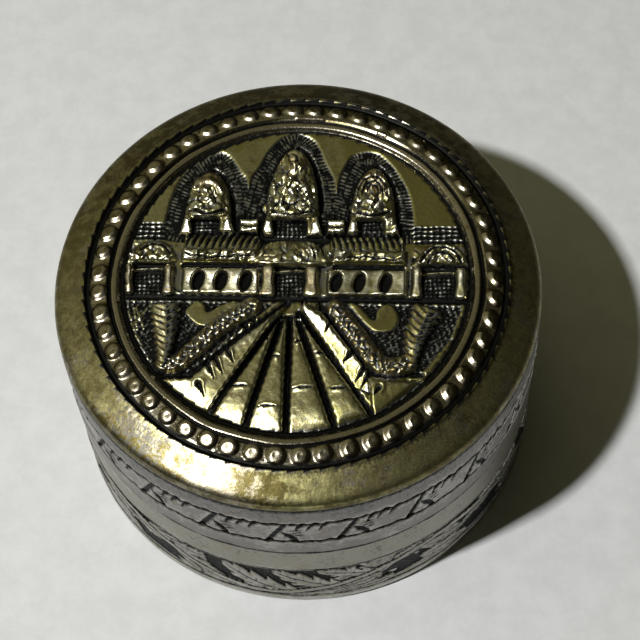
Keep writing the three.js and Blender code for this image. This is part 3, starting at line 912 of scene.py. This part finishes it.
def porch(axis, half, pillar, worn):
    """A porch below its canopy: two swelling pillars, worn to copper by a share, and a dark door."""
    work.sunk(oblong(axis - half, PORCH_FOOT, axis + half, 1.5), 0.2, 0.3)
    door = oblong(axis - half + pillar, PORCH_FOOT + 0.2, axis + half - pillar, 0.2)
    work.hatched(door, 0.6, 0.14, 3, 0.4, cross=True)
    for side in (-1, 1):
        left = axis + side * (half - pillar / 2) - pillar / 2
        right = left + pillar
        outline = [(left, -3.0), (right, -3.0), (right - 0.1, -1.0), (right - 0.15, 1.2),
                   (left + 0.15, 1.2), (left + 0.1, -1.0)]
        work.raised(flowing(outline, closed=True), 0.9, 0.45, 0.2, tilt=(0.12, 0.2))
        work.bared(left + pillar / 2, -0.8, pillar, 2.6, worn)
    work.ridge([(axis - half + pillar, 0.45), (axis + half - pillar, 0.75)], 0.5, 0.5, 0.3)


def canopies():
    """Rounded canopies over the three porches, ribbed and knobbed."""
    for axis, half in ((-19.8, 3.7), (18.6, 3.7), (-0.7, 4.6)):
        work.sunk(oblong(axis - half, 1.2, axis + half, 3.2), 0.1, 0.3)
    left = [(-23.3, 1.3), (-22.4, 3.0), (-20.2, 4.7), (-17.6, 4.6), (-16.1, 3.0), (-16.2, 1.7),
            (-19.0, 2.0)]
    right = [(15.0, 1.5), (15.8, 3.2), (17.6, 4.8), (19.8, 5.0), (21.6, 3.7), (22.0, 1.8), (18.6, 1.9)]
    middle = [(-5.4, 1.5), (-5.2, 3.6), (-3.6, 5.0), (-0.8, 5.3), (2.2, 5.0), (3.9, 3.6), (4.0, 1.5)]
    work.raised(oblong(-22.4, 1.5, -16.2, 3.1), 1.0, 0.5, 0.3, tilt=(0.04, 0.38))
    for outline in (left, right, middle):
        work.raised(flowing(outline, closed=True), 1.0, 1.6)
    work.faceted(oblong(-23.0, 1.5, -16.0, 4.6), 1.0, -0.1)
    work.groove(flowing([(-20.6, 3.5), (-19.3, 4.4), (-17.8, 4.3), (-16.8, 3.3)]), 0.4, 0.3, burr=0.12)
    shell = np.array([(-2.7, 0.0), (-1.5, 1.9), (0.4, 2.3), (2.0, 1.5), (2.6, 0.0)])
    for scale in (1.0, 0.66):
        work.groove(flowing(shell * scale + (18.8, 2.3)), 0.45, 0.35, burr=0.15)
    work.faceted(oblong(15.0, 1.5, 22.2, 4.8), 1.3, 0.0)
    work.faceted(oblong(-5.3, 2.0, 3.9, 5.0), 0.9, -0.2)
    for start in (1.4, 2.6):
        fold = [(start - 0.6, 5.0), (start + 0.5, 4.2), (start + 1.0, 2.6)]
        work.groove(flowing(fold), 0.4, 0.3, "pointed", 0.12)
    work.ridge([(-5.0, 1.75), (3.7, 1.75)], 0.6, 0.4, 0.1)
    for x in (-22.5, -4.6, 16.2):
        work.bared(x, 3.2, 2.2, 1.6, 0.5)


# Pitch of a serpent's scales, pitch of the barbs on its hood, and half the width of its body
SCALE = 1.15
BARB = 0.95
BODY_HALF = 1.35


def serpent_body(path):
    """A round body with scales in crossing rows, some of them bright."""
    spot, gap, along, side, _ = work.follow(path, 1.8)
    across = gap * side
    first, second = along + 0.8 * across, along - 0.8 * across
    jitter = 0.25 * np.sin(2.3 * along + 1.1) + 0.2 * np.sin(4.1 * along) + 0.15 * np.sin(5.3 * across)
    scale = np.minimum(np.abs(np.sin(math.pi * (first + jitter) / SCALE)),
                       np.abs(np.sin(math.pi * (second + 0.7 * jitter) / SCALE))) ** 0.7
    spark = np.sin(12.99 * np.floor(first / SCALE) + 78.2 * np.floor(second / SCALE)) ** 2
    share = np.sqrt(unit(1 - (gap / BODY_HALF) ** 2))
    covered = gap < BODY_HALF
    tone = share * ((0.75 + 0.8 * spark) * scale - 0.9)
    work.height[spot] = np.where(covered, share * (0.55 + 0.5 * scale) - 0.1, work.height[spot])
    work.finish[spot] = np.where(covered, tone, work.finish[spot])
    work.copper_and_painted_light[spot] = np.where(covered, 0.6, work.copper_and_painted_light[spot])


def serpent_hood(path):
    """A reared hood like a feather: barbs on the left of its rib, painted brighter as painted highlight where
    turned to the light, and barbs on the right painted dark as painted shade.
    """
    spot, gap, along, side, whole = work.follow(path, 2.6)
    part = unit(along / whole)
    width = (0.6 + 1.5 * part**0.7) * (1 + 0.1 * np.sin(2 * math.pi * along / BARB))
    share = unit(1 - gap / width)
    covered = (share > 0) & (along < whole - 0.01)
    rib = unit(1 - gap / 0.3)
    row = (along - 0.5 * gap) / BARB
    barb = row % 1.0
    turned = (side > 0) * np.sin(5.3 * np.floor(row) + path[0][0]) ** 2
    lift = 0.65 * unit(3 * share) ** 0.5 + (0.1 + 0.28 * turned) * (barb - 0.5)
    lift -= 0.2 * turned * gap
    cut = unit(1.4 - barb / 0.2)
    # Barbs turned to the light are painted brighter as painted highlight, and the right half is painted dark
    # as painted shade
    tone = np.where(side > 0, 0.25 * turned - 0.15 - 0.9 * cut, 0.9 * cut - 0.9)
    work.height[spot] = np.where(covered, lift, work.height[spot])
    work.finish[spot] = np.where(covered, tone * (1 - rib) + 0.2 * rib, work.finish[spot])
    # Barbs turned to the light are also painted with less copper, as painted highlight
    work.copper_and_painted_light[spot] = np.where(covered & (side > 0), 0.8 - 0.7 * turned, work.copper_and_painted_light[spot])
    work.blacken(spot, unit(1 - np.abs(gap - width - 0.2) / 0.3) * (part > 0.15))


def serpents():
    """Two scaly serpents that lie along the way and rear up in feathered hoods at its outer end."""
    bodies = (
        [(-5.6, -4.6), (-9.8, -7.8), (-13.0, -11.4), (-14.8, -13.0), (-16.2, -13.0)],
        [(5.2, -4.8), (7.7, -8.2), (10.6, -12.2), (12.6, -13.0), (14.6, -12.6)],
    )
    hoods = (
        [(-16.6, -13.2), (-16.5, -9.6), (-16.9, -4.5)],
        [(15.2, -12.6), (15.6, -8.8), (17.2, -4.5)],
    )
    for body, hood in zip(bodies, hoods):
        serpent_body(flowing(body))
        serpent_hood(flowing(hood))


def court():
    """The dark matted court on both sides of the way, with plain patches left in it."""
    left = [(-22.3, -3.9), (-2.2, -3.9), (-13.4, -14.7), (-17.6, -14.5), (-20.2, -9.5)]
    right = [(1.4, -3.9), (21.9, -3.9), (20.2, -9.2), (16.4, -14.3), (9.6, -14.3)]
    for outline, lean in ((left, 70), (right, 104)):
        work.sunk(outline, 0.25, 0.35, 0.9)
        work.hatched(outline, 0.7, 0.14, lean, 0.3)
        spot, inside, _ = work.depth_inside(outline)
        work.stippled(spot[inside > 0], 0.8)
    # Thin blades stand up at its left edge
    for foot_x, top_x in ((-21.6, -22.0), (-20.2, -20.9), (-19.4, -20.6), (-20.9, -19.2)):
        work.ridge([(foot_x, 0.2 * foot_x - 4.2), (top_x, -5.0)], 0.3, 0.2, 0.35)
    plain = (
        [(-14.2, -5.8), (-13.6, -4.6), (-12.6, -4.0), (-11.7, -4.6), (-11.2, -5.6), (-9.8, -4.7),
         (-8.0, -4.0), (-7.3, -4.3), (-9.2, -5.9), (-10.9, -7.3), (-12.4, -7.6)],
        [(6.9, -4.2), (8.2, -4.3), (10.2, -6.4), (10.6, -5.0), (11.6, -4.1), (12.8, -4.5), (13.5, -6.2),
         (12.8, -7.8), (11.2, -8.2), (9.6, -7.6)],
    )
    for outline in plain:
        work.raised(flowing(outline, closed=True), 0.16, 0.3, fresh=True)


def causeway():
    """The paved way: four tapering strips between deep grooves, and a kerb on each side."""
    kerb_left = [(-0.8, -4.4), (-13.0, -14.9), (-16.9, -15.4), (-10.2, -20.6), (-2.0, -6.4)]
    kerb_right = [(1.2, -4.0), (3.6, -5.4), (10.4, -14.7), (10.4, -20.3), (0.6, -5.4)]
    work.raised(kerb_left, 0.75, 0.4, fresh=True, tilt=(0.04, 0.12))
    work.raised(kerb_right, 0.75, 0.3, 0.1, fresh=True, tilt=(0.16, 0.36))
    work.raised([(9.7, -14.9), (16.2, -15.2), (10.4, -20.3)], 0.6, 0.4, fresh=True, tilt=(0.0, 0.08))
    rays = (
        [(-2.2, -6.4), (-10.3, -20.2)],
        [(-1.7, -6.9), (-5.7, -22.0)],
        [(-0.6, -6.6), (-0.5, -23.2)],
        [(0.5, -6.9), (5.7, -22.0)],
        [(0.6, -5.6), (10.4, -20.1)],
    )
    for (top_a, low_a), (top_b, low_b), climb in zip(rays, rays[1:], (0.045, 0.045, 0.045, 0.04)):
        work.raised([top_a, low_a, low_b, top_b], 0.75, 1.7, fresh=True, tilt=(0.08, climb))
    # Its front end dips to the border
    spot = work.near([(-17.0, -23.0), (16.5, -15.0)], 0)
    end = unit((np.hypot(work.x[spot], work.y[spot]) - 18.6) / 3.8)
    work.height[spot] -= 0.62 * end**2
    for ray in rays:
        work.groove(ray, 1.0, 0.7)
    joints = (
        (-3.6, -9.6, 0.6, 0.1), (-6.6, -16.2, 1.2, 0.15), (-2.2, -11.9, 0.7, 0.1), (-3.0, -19.0, 1.3, 0.1),
        (0.7, -9.8, 0.5, 0.1), (1.4, -16.3, 1.5, 0.2), (3.4, -11.4, 0.8, -0.1), (6.2, -16.3, 1.3, 0.05),
    )
    # The paving swells up to each joint, as hammered sheet does beside a cut
    for x, y, half, lean in joints:
        joint = flowing([(x - half, y - lean), (x, y + 0.12), (x + half, y + lean)])
        spot = work.near([(x - half - 0.8, y - 4.0), (x + half + 0.8, y)], 0)
        width = unit(1 - ((work.x[spot] - x) / (half + 0.8)) ** 2)
        work.height[spot] += 0.2 * width * np.exp((work.y[spot] - y) / 1.3)
        work.groove(joint, 0.42, 0.25, "pointed", 0.1)
    work.groove([(-1.0, -4.2), (-7.0, -9.2), (-13.0, -14.7), (-17.6, -14.6)], 1.2, 0.6)
    work.groove([(1.2, -3.9), (3.7, -5.7), (10.2, -14.2), (16.4, -14.2)], 0.85, 0.6)
    work.groove([(-1.8, -6.2), (1.2, -6.1)], 0.6, 0.4)
    nicks = (
        (-5.9, -8.2, 0.5, 0.9), (-5.0, -7.2, 0.45, 0.85), (-7.9, -12.0, 0.5, 0.9), (-9.3, -13.4, 0.6, 1.1),
        (-10.3, -14.2, 0.6, 1.1), (-11.4, -16.8, 0.4, 0.8), (4.4, -7.6, -0.4, 0.8), (6.9, -12.0, -0.5, 0.6),
        (8.6, -14.2, -0.6, 0.9), (9.3, -15.0, -0.55, 0.9), (10.8, -16.6, -0.35, 0.6),
    )
    for x, y, lean, size in nicks:
        work.groove([(x - lean, y + size), (x + lean, y - size)], 0.8, 0.4, "wedge", 0.1)
    work.raised([(1.4, -3.9), (3.0, -4.0), (3.3, -5.4), (2.0, -5.2)], 0.8, 0.5, 0.3, tilt=(0.1, 0.4))


surrounds()
court()
causeway()
blocks()
towers()
tower_lumps()
gallery()
porch(-19.3, 3.4, 1.5, 0.5)
porch(18.5, 3.6, 1.5, 0.15)
porch(-0.85, 3.8, 1.95, 0.65)
canopies()
serpents()

# The towers and roofs are beaten more unevenly than the gallery's wall and the paving
hammered = np.where(work.y > WALL_TOP + 0.3, 0.045, np.where(work.y > PORCH_FOOT, 0.02, 0.014))
hammered *= unit(work.height / 0.6)
work.height += hammered * hand_sway(work.x, work.y, 1.0, 3.2)
work.height += 0.025 * hand_sway(work.x, work.y, 4.0, 9.0)
# The black line round the field has a saw-toothed inner edge
tooth = (np.arctan2(work.y, work.x) / (2 * math.pi) * FIELD_TEETH) % 1.0
line_edge = FIELD_RADIUS - 0.15 - 0.25 * tooth
rim = unit((np.hypot(work.x, work.y) - line_edge) / 0.25)
work.height = work.height * (1 - rim) - EDGE_DEPTH * rim
work.finish = work.finish * (1 - rim) - rim
worked = eased(picture, work.height, 1)
# The places above are as seen from the front, where what stands tall looks set back
ground[:, 1] -= SET_BACK * np.clip(eased(picture, worked, 25), 0, None)
ground[:, 2] = GROUND + worked
put_points(picture, ground)
mark_relief(picture, worked, 0.4, work.finish)
store(picture, "copper_and_painted_light", work.copper_and_painted_light)
# The ground is browner than what stands up from it, and the picture is painted darker towards the right as
# painted shade
darkening = np.where(worked < 0.2, 0.0, -0.04) + 0.018 * np.clip(work.x - 4, -2, None)
store(picture, "tarnish_and_painted_light", darkening)

bpy.ops.object.select_all(action="DESELECT")
picture.select_set(True)
bpy.context.view_layer.objects.active = picture
bpy.ops.object.mode_set(mode="EDIT")
bpy.ops.mesh.select_all(action="SELECT")
bpy.ops.mesh.region_to_loop()
bpy.ops.mesh.extrude_region_move(TRANSFORM_OT_translate={"value": (0, 0, -0.5 * MM)})
bpy.ops.mesh.edge_face_add()
bpy.ops.mesh.select_all(action="SELECT")
bpy.ops.mesh.normals_make_consistent(inside=False)
bpy.ops.object.mode_set(mode="OBJECT")
bpy.ops.object.shade_smooth_by_angle(angle=math.radians(60))

top_metal = metal_finish(
    "olive_white_metal",
    grain_depth=0.00001,
    dullness=0.15,
    Metal=(0.36, 0.338, 0.18),
    Tarnish=(0.23, 0.213, 0.075),
    Brown=(0.20, 0.145, 0.075),
    Copper=(0.25, 0.18, 0.1),
    Grey=(0.24, 0.24, 0.225),
    Black=(0.010, 0.010, 0.009),
    Bright=(0.55, 0.53, 0.42),
)
picture.data.materials.append(top_metal)
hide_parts("lid_top")
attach(picture, "lid")

# Lid border
# The rest of the lid's top sheet round the picture: a plain ring, a roll with a row of beads
# struck on it by a hollow punch, and a smooth shoulder that slopes down to the rim.

BEADS = 54
BEAD_CIRCLE = 25.8
BEAD_HALF = 1.22
BEAD_RISE = 0.44
ROLL_HALF = 1.15
TEETH = 88
# Radii of the three black lines with the ring between two of them, and of the slope, lip, shoulder and rim
INNER_LINE = 22.65
RING = 23.55
RING_LINE = 24.35
OUTER_LINE = 27.3
SLOPE = 27.8
LIP = 27.95
SHOULDER = 28.3
RIM = 32.0
# A flat in the lid's middle that climbs this steeply to the right and to the back mirrors the lamp to the
# front, and each millimetre further to the right or to the back takes this much more
LAMP_CLIMB = (0.207, 0.461)
CLIMB_GAIN = 0.0031
# Height of a bead's worn facet over its seat, where it glints from the bead's middle, and its rounding
FACET_RISE = 0.58
GLINT_RIGHT = -0.2
GLINT_BACK = -0.45
FACET_ROUNDING = 0.22


def swelling(place, middle, half, steep=1.0):
    """From 1 in a middle to nothing at half a width from it; the steeper, the broader its flat top."""
    return unit(steep - steep * ((place - middle) / half) ** 2)


def about(turn, degrees, spread):
    """1 at an angle round the lid, fading out on both sides of it."""
    return np.exp(-(((turn - math.radians(degrees)) / math.radians(spread)) ** 2))


def border_height(radius, inner):
    """Height of the border over the ground, before the beads; its inner lines keep to their own radius."""
    height = 0.14 * swelling(inner, RING, 0.66, 2.5) - EDGE_DEPTH * swelling(inner, INNER_LINE, 0.65, 1.8)
    height -= 0.3 * swelling(inner, RING_LINE, 0.28) + 0.4 * swelling(radius, OUTER_LINE, 0.45)
    height -= 0.2 * np.where(np.abs(radius - BEAD_CIRCLE) < ROLL_HALF, radius - BEAD_CIRCLE, 0)
    slope = unit((radius - SLOPE) / (RIM - SLOPE))
    return height - 1.85 * slope - 0.55 * slope**14


ornament = np.arange(FIELD_RADIUS, SHOULDER - 0.1, 0.14)
falling = RIM - 0.15 - (RIM - 0.15 - SHOULDER) * np.linspace(1, 0, 18) ** 1.6
outer = np.concatenate((ornament, falling))
border = spun("beaded_border", [
    *zip(outer, GROUND + border_height(outer, outer)),
    (RIM, GROUND - 2.62),
    (RIM, GROUND - 3.0),
    (RIM - 1.0, GROUND - 3.0),
    (30.0, GROUND - 2.0),
    (27.5, GROUND - 1.05),
    (FIELD_RADIUS, GROUND - 0.9),
], 1200)
spots = points_of(border)
x, y = spots[:, 0], spots[:, 1]
turn = np.arctan2(y, x)
true_radius = np.hypot(x, y)
upper = spots[:, 2] > GROUND + border_height(true_radius, true_radius) - 0.15
ornate = upper & (true_radius < SHOULDER)
plain = upper & (true_radius > SHOULDER)
# The hand that struck the border strayed in and out, and its inner lines lie a little to the front
stray = 0.05 * np.sin(5 * turn + 1) + 0.04 * np.sin(13 * turn)
radius = true_radius + np.where(true_radius < SHOULDER, stray, 0)
drift = 0.2 * unit(1.5 * (true_radius - FIELD_RADIUS))
inner = radius - drift * np.cos(turn - math.radians(-115))
height = np.where(ornate, border_height(radius, inner), spots[:, 2] - GROUND)
# The ring is beaten slanting at the back
ring = ornate & (np.abs(inner - RING) < 0.6)
height += ring * 0.24 * facing(turn, 62) * (inner - RING)

# Each bead has its own size and place, and a small dimple in its top
bead_pitch = 2 * math.pi / BEADS
bead_turn = turn / bead_pitch
bead_number = np.round(bead_turn).astype(int) % BEADS
bead_size = BEAD_HALF * (1 + hand.normal(0, 0.06, BEADS))[bead_number]
bead_shift = hand.normal(0, 0.08, BEADS)[bead_number]
bead_off = (bead_turn - np.round(bead_turn)) * bead_pitch * BEAD_CIRCLE + bead_shift
bead_gap = np.hypot(bead_off, radius - BEAD_CIRCLE) / bead_size
seat = ornate & (np.abs(radius - BEAD_CIRCLE) < ROLL_HALF)
# A thumb has worn the beads at the front left, so that they lean outward
worn_flat = about(turn, -112, 28)
bead_top = BEAD_RISE - (0.06 + 0.12 * worn_flat) * (radius - BEAD_CIRCLE) - 0.1 * bead_gap**2
bead_top -= 0.07 * np.exp(-((bead_gap / 0.3) ** 2))
button = unit((1.02 - bead_gap) / 0.3)
bead_height = height + bead_top * np.sin(button * math.pi / 2)
# Wear has left a slightly rounded facet on each bead, turned to the lamp, and what it cuts off is painted
# bright as a painted glint
facet_lean = 1 + hand.normal(0, 0.05, BEADS)[bead_number]
bead_middle = bead_number * bead_pitch - bead_shift / BEAD_CIRCLE
bead_x, bead_y = BEAD_CIRCLE * np.cos(bead_middle), BEAD_CIRCLE * np.sin(bead_middle)
climb = (LAMP_CLIMB[0] + CLIMB_GAIN * bead_x) * (x - bead_x)
climb += (LAMP_CLIMB[1] + CLIMB_GAIN * bead_y) * (y - bead_y)
seat_height = border_height(np.array([BEAD_CIRCLE]), np.array([BEAD_CIRCLE]))[0]
facet = seat_height + FACET_RISE - 0.03 * np.cos(turn - math.radians(-15)) + climb * facet_lean
facet -= FACET_ROUNDING * ((x - bead_x - GLINT_RIGHT) ** 2 + (y - bead_y - GLINT_BACK) ** 2)
painted_glint = unit(15 * (bead_height - facet))
height = np.where(seat, np.maximum(height, np.minimum(bead_height, facet)), height)

# The liner left teeth in the black lines, and a lip outside the beads at the back
tooth = (turn / (2 * math.pi) * TEETH) % 1.0
lip = about(turn, 60, 34) * np.exp(-(((radius - LIP) / 0.2) ** 2))
height = np.where(ornate, height + (0.03 + 0.07 * tooth) * lip, height)
finish = np.interp(bead_gap, (0.85, 1.0, 1.15), (0.1, -0.17, 0.0)) - 0.16 * worn_flat
finish = np.where(ring, 0.02, np.where(seat, finish, 0))
sawn = np.where(radius > OUTER_LINE, 0.95 - 0.6 * tooth, 0.5)
lines = ((inner, INNER_LINE, 0.5 - 0.15 * tooth), (inner, RING_LINE, 0.3), (radius, OUTER_LINE, sawn))
for place, middle, half in lines:
    line = ornate * unit(3 * (1 - np.abs(place - middle) / half))
    finish = finish * (1 - line) - line

# The shoulder is painted bright at the front as a painted highlight, the tail of the lamp's reflection, and
# painted darker at the front left as painted shade that narrows the lamp's highlight and reads as mottled
# stains
finish = np.where(plain, 0.5 * about(turn, -84, 13) - 0.24 * about(turn, -129, 11), finish)
dents = 0.01 * hand_sway(x, y, 1.5, 5.0)
height += np.where(plain, dents * unit(31.8 - true_radius), 0)
height = eased(border, height, 1)
spots[:, 2] = np.where(upper, GROUND + height, spots[:, 2])
put_points(border, spots)
mark_relief(border, np.zeros(len(finish)), 1.0, finish)

# How far the silvering is stained or gone, by angle round the shoulder: stains, with the back painted darker
# as painted shade and less at the front, where the lamp's highlight falls
stain_and_shade = np.interp(np.degrees(turn), (-180, -160, -140, -126, -118, -112, -10, 30, 60, 105, 150, 180),
                    (0.6, 0.75, 0.9, 1.05, 1.05, 0.5, 0.2, 0.7, 1.1, 1.7, 1.0, 0.6))
stain_and_shade += 0.4 * about(turn, -130, 12) * (true_radius - 29.6)
stain_and_shade += 1.3 * about(turn, -96.5, 5) + 0.4 * about(turn, -88, 6)
# Beads are painted brown but for their facets, painted bright as painted glints, and less so at the front
# left
bare = np.interp(bead_gap, (0.85, 1.05), (0.75, 1.0)) * (1 - 0.4 * worn_flat) * (1 - painted_glint)
bare = np.where(plain, np.clip(stain_and_shade, 0, 1.6), np.where(seat, bare, 0))
store(border, "copper_and_painted_light", np.where(true_radius > RIM - 0.2, 0.9, bare))
store(border, "dulled", np.where(true_radius > SHOULDER, 0.13, 0.0))
darkening = 0.06 * np.abs(np.cos(turn - math.radians(-20))) - 0.2 * seat - 0.4 * ring
# Less at the front left, where the lamp's highlight falls, as painted highlight
store(border, "tarnish_and_painted_light", darkening - 0.07 * about(turn, -114, 13) + 0.05 * about(turn, -82, 14))
shoulder_metal = metal_finish(
    "handled_white_metal_with_painted_light",
    grain_depth=0.000008,
    dullness=0.06,
    Metal=(0.34, 0.306, 0.24),
    Tarnish=(0.25, 0.228, 0.105),
    Brown=(0.14, 0.10, 0.05),
    Copper=(0.085, 0.07, 0.024),
    Grey=(0.11, 0.102, 0.08),
    Black=(0.010, 0.010, 0.009),
    Bright=(0.50, 0.47, 0.21),
)
border.data.materials.append(shoulder_metal)
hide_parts("lid_top")
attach(border, "lid")

# Table, light and camera
# A sheet of pale paper, a lamp from the front left and a dim room.
# The camera stands over the front of the box, as near as an arm's length.

bpy.ops.object.select_all(action="DESELECT")
bpy.ops.mesh.primitive_plane_add(size=4.0)
paper = bpy.context.object
paper.name = "paper"
paper_finish = bpy.data.materials.new("pale_paper")
paper_finish.use_nodes = True
bench = Bench(paper_finish.node_tree)
paper_shader = bench.nodes["Principled BSDF"].inputs
paper_shader["Roughness"].default_value = 0.9
cloudy = bench.ramp(bench.noise(220.0, 8.0, 0.75), 0.35, 0.65)
paper_colour = bench.mix(cloudy, (0.605, 0.615, 0.61, 1), (0.665, 0.675, 0.67, 1))
bench.links.new(paper_colour, paper_shader["Base Color"])
paper.data.materials.append(paper_finish)

scene = bpy.context.scene
scene.view_settings.view_transform = "Standard"
room = bpy.data.worlds.new("dim_room")
room.use_nodes = True
bench = Bench(room.node_tree)
room_light = bench.nodes["Background"].inputs
room_light["Color"].default_value = (1.0, 0.95, 0.52, 1)
direction = bench.add("ShaderNodeTexCoord", {})["Generated"]


def glow(toward, edge, strength):
    """Light from a soft patch of the room, full in one direction and gone at an edge given as a cosine."""
    across = bench.add("ShaderNodeVectorMath", {0: direction, 1: toward}, operation="DOT_PRODUCT")["Value"]
    return bench.ramp(across, edge, 0.98, 0.0, strength)


ceiling = glow((-0.36, 0.4, 0.843), 0.62, 0.16)
window = glow((-0.9, 0.38, 0.2), 0.3, 0.17)
bench.links.new(bench.total(bench.total(ceiling, window), 0.02), room_light["Strength"])
scene.world = room


def lamp(name, place, side, watts):
    """A square soft lamp that faces the box."""
    data = bpy.data.lights.new(name, "AREA")
    data.size = side
    data.energy = watts
    light = bpy.data.objects.new(name, data)
    scene.collection.objects.link(light)
    light.location = place
    tilt = math.atan2(math.hypot(place[0], place[1]), place[2])
    light.rotation_euler = (tilt, 0, math.atan2(place[1], place[0]) + math.pi / 2)


lamp("front_left_lamp", (-0.245, -0.175, 0.542), 0.03, 3.75)

LENS = 112.5
AIM = (3.29 * MM, -6.53 * MM, GROUND * MM)
DISTANCE = 257.3 * MM
AZIMUTH = math.radians(5.5)
ELEVATION = math.radians(61.25)
ROLL = math.radians(-3.9)
camera_data = bpy.data.cameras.new("photo_camera")
camera_data.lens = LENS
camera_data.sensor_width = 36.0
camera_data.clip_start = 0.01
camera = bpy.data.objects.new("photo_camera", camera_data)
scene.collection.objects.link(camera)
scene.camera = camera
toward = np.array((math.sin(AZIMUTH) * math.cos(ELEVATION), -math.cos(AZIMUTH) * math.cos(ELEVATION),
                   math.sin(ELEVATION)))
camera.location = np.array(AIM) + DISTANCE * toward
camera.rotation_mode = "QUATERNION"
level = Quaternion((0, 0, 1), AZIMUTH) @ Quaternion((1, 0, 0), math.pi / 2 - ELEVATION)
camera.rotation_quaternion = level @ Quaternion((0, 0, 1), ROLL)
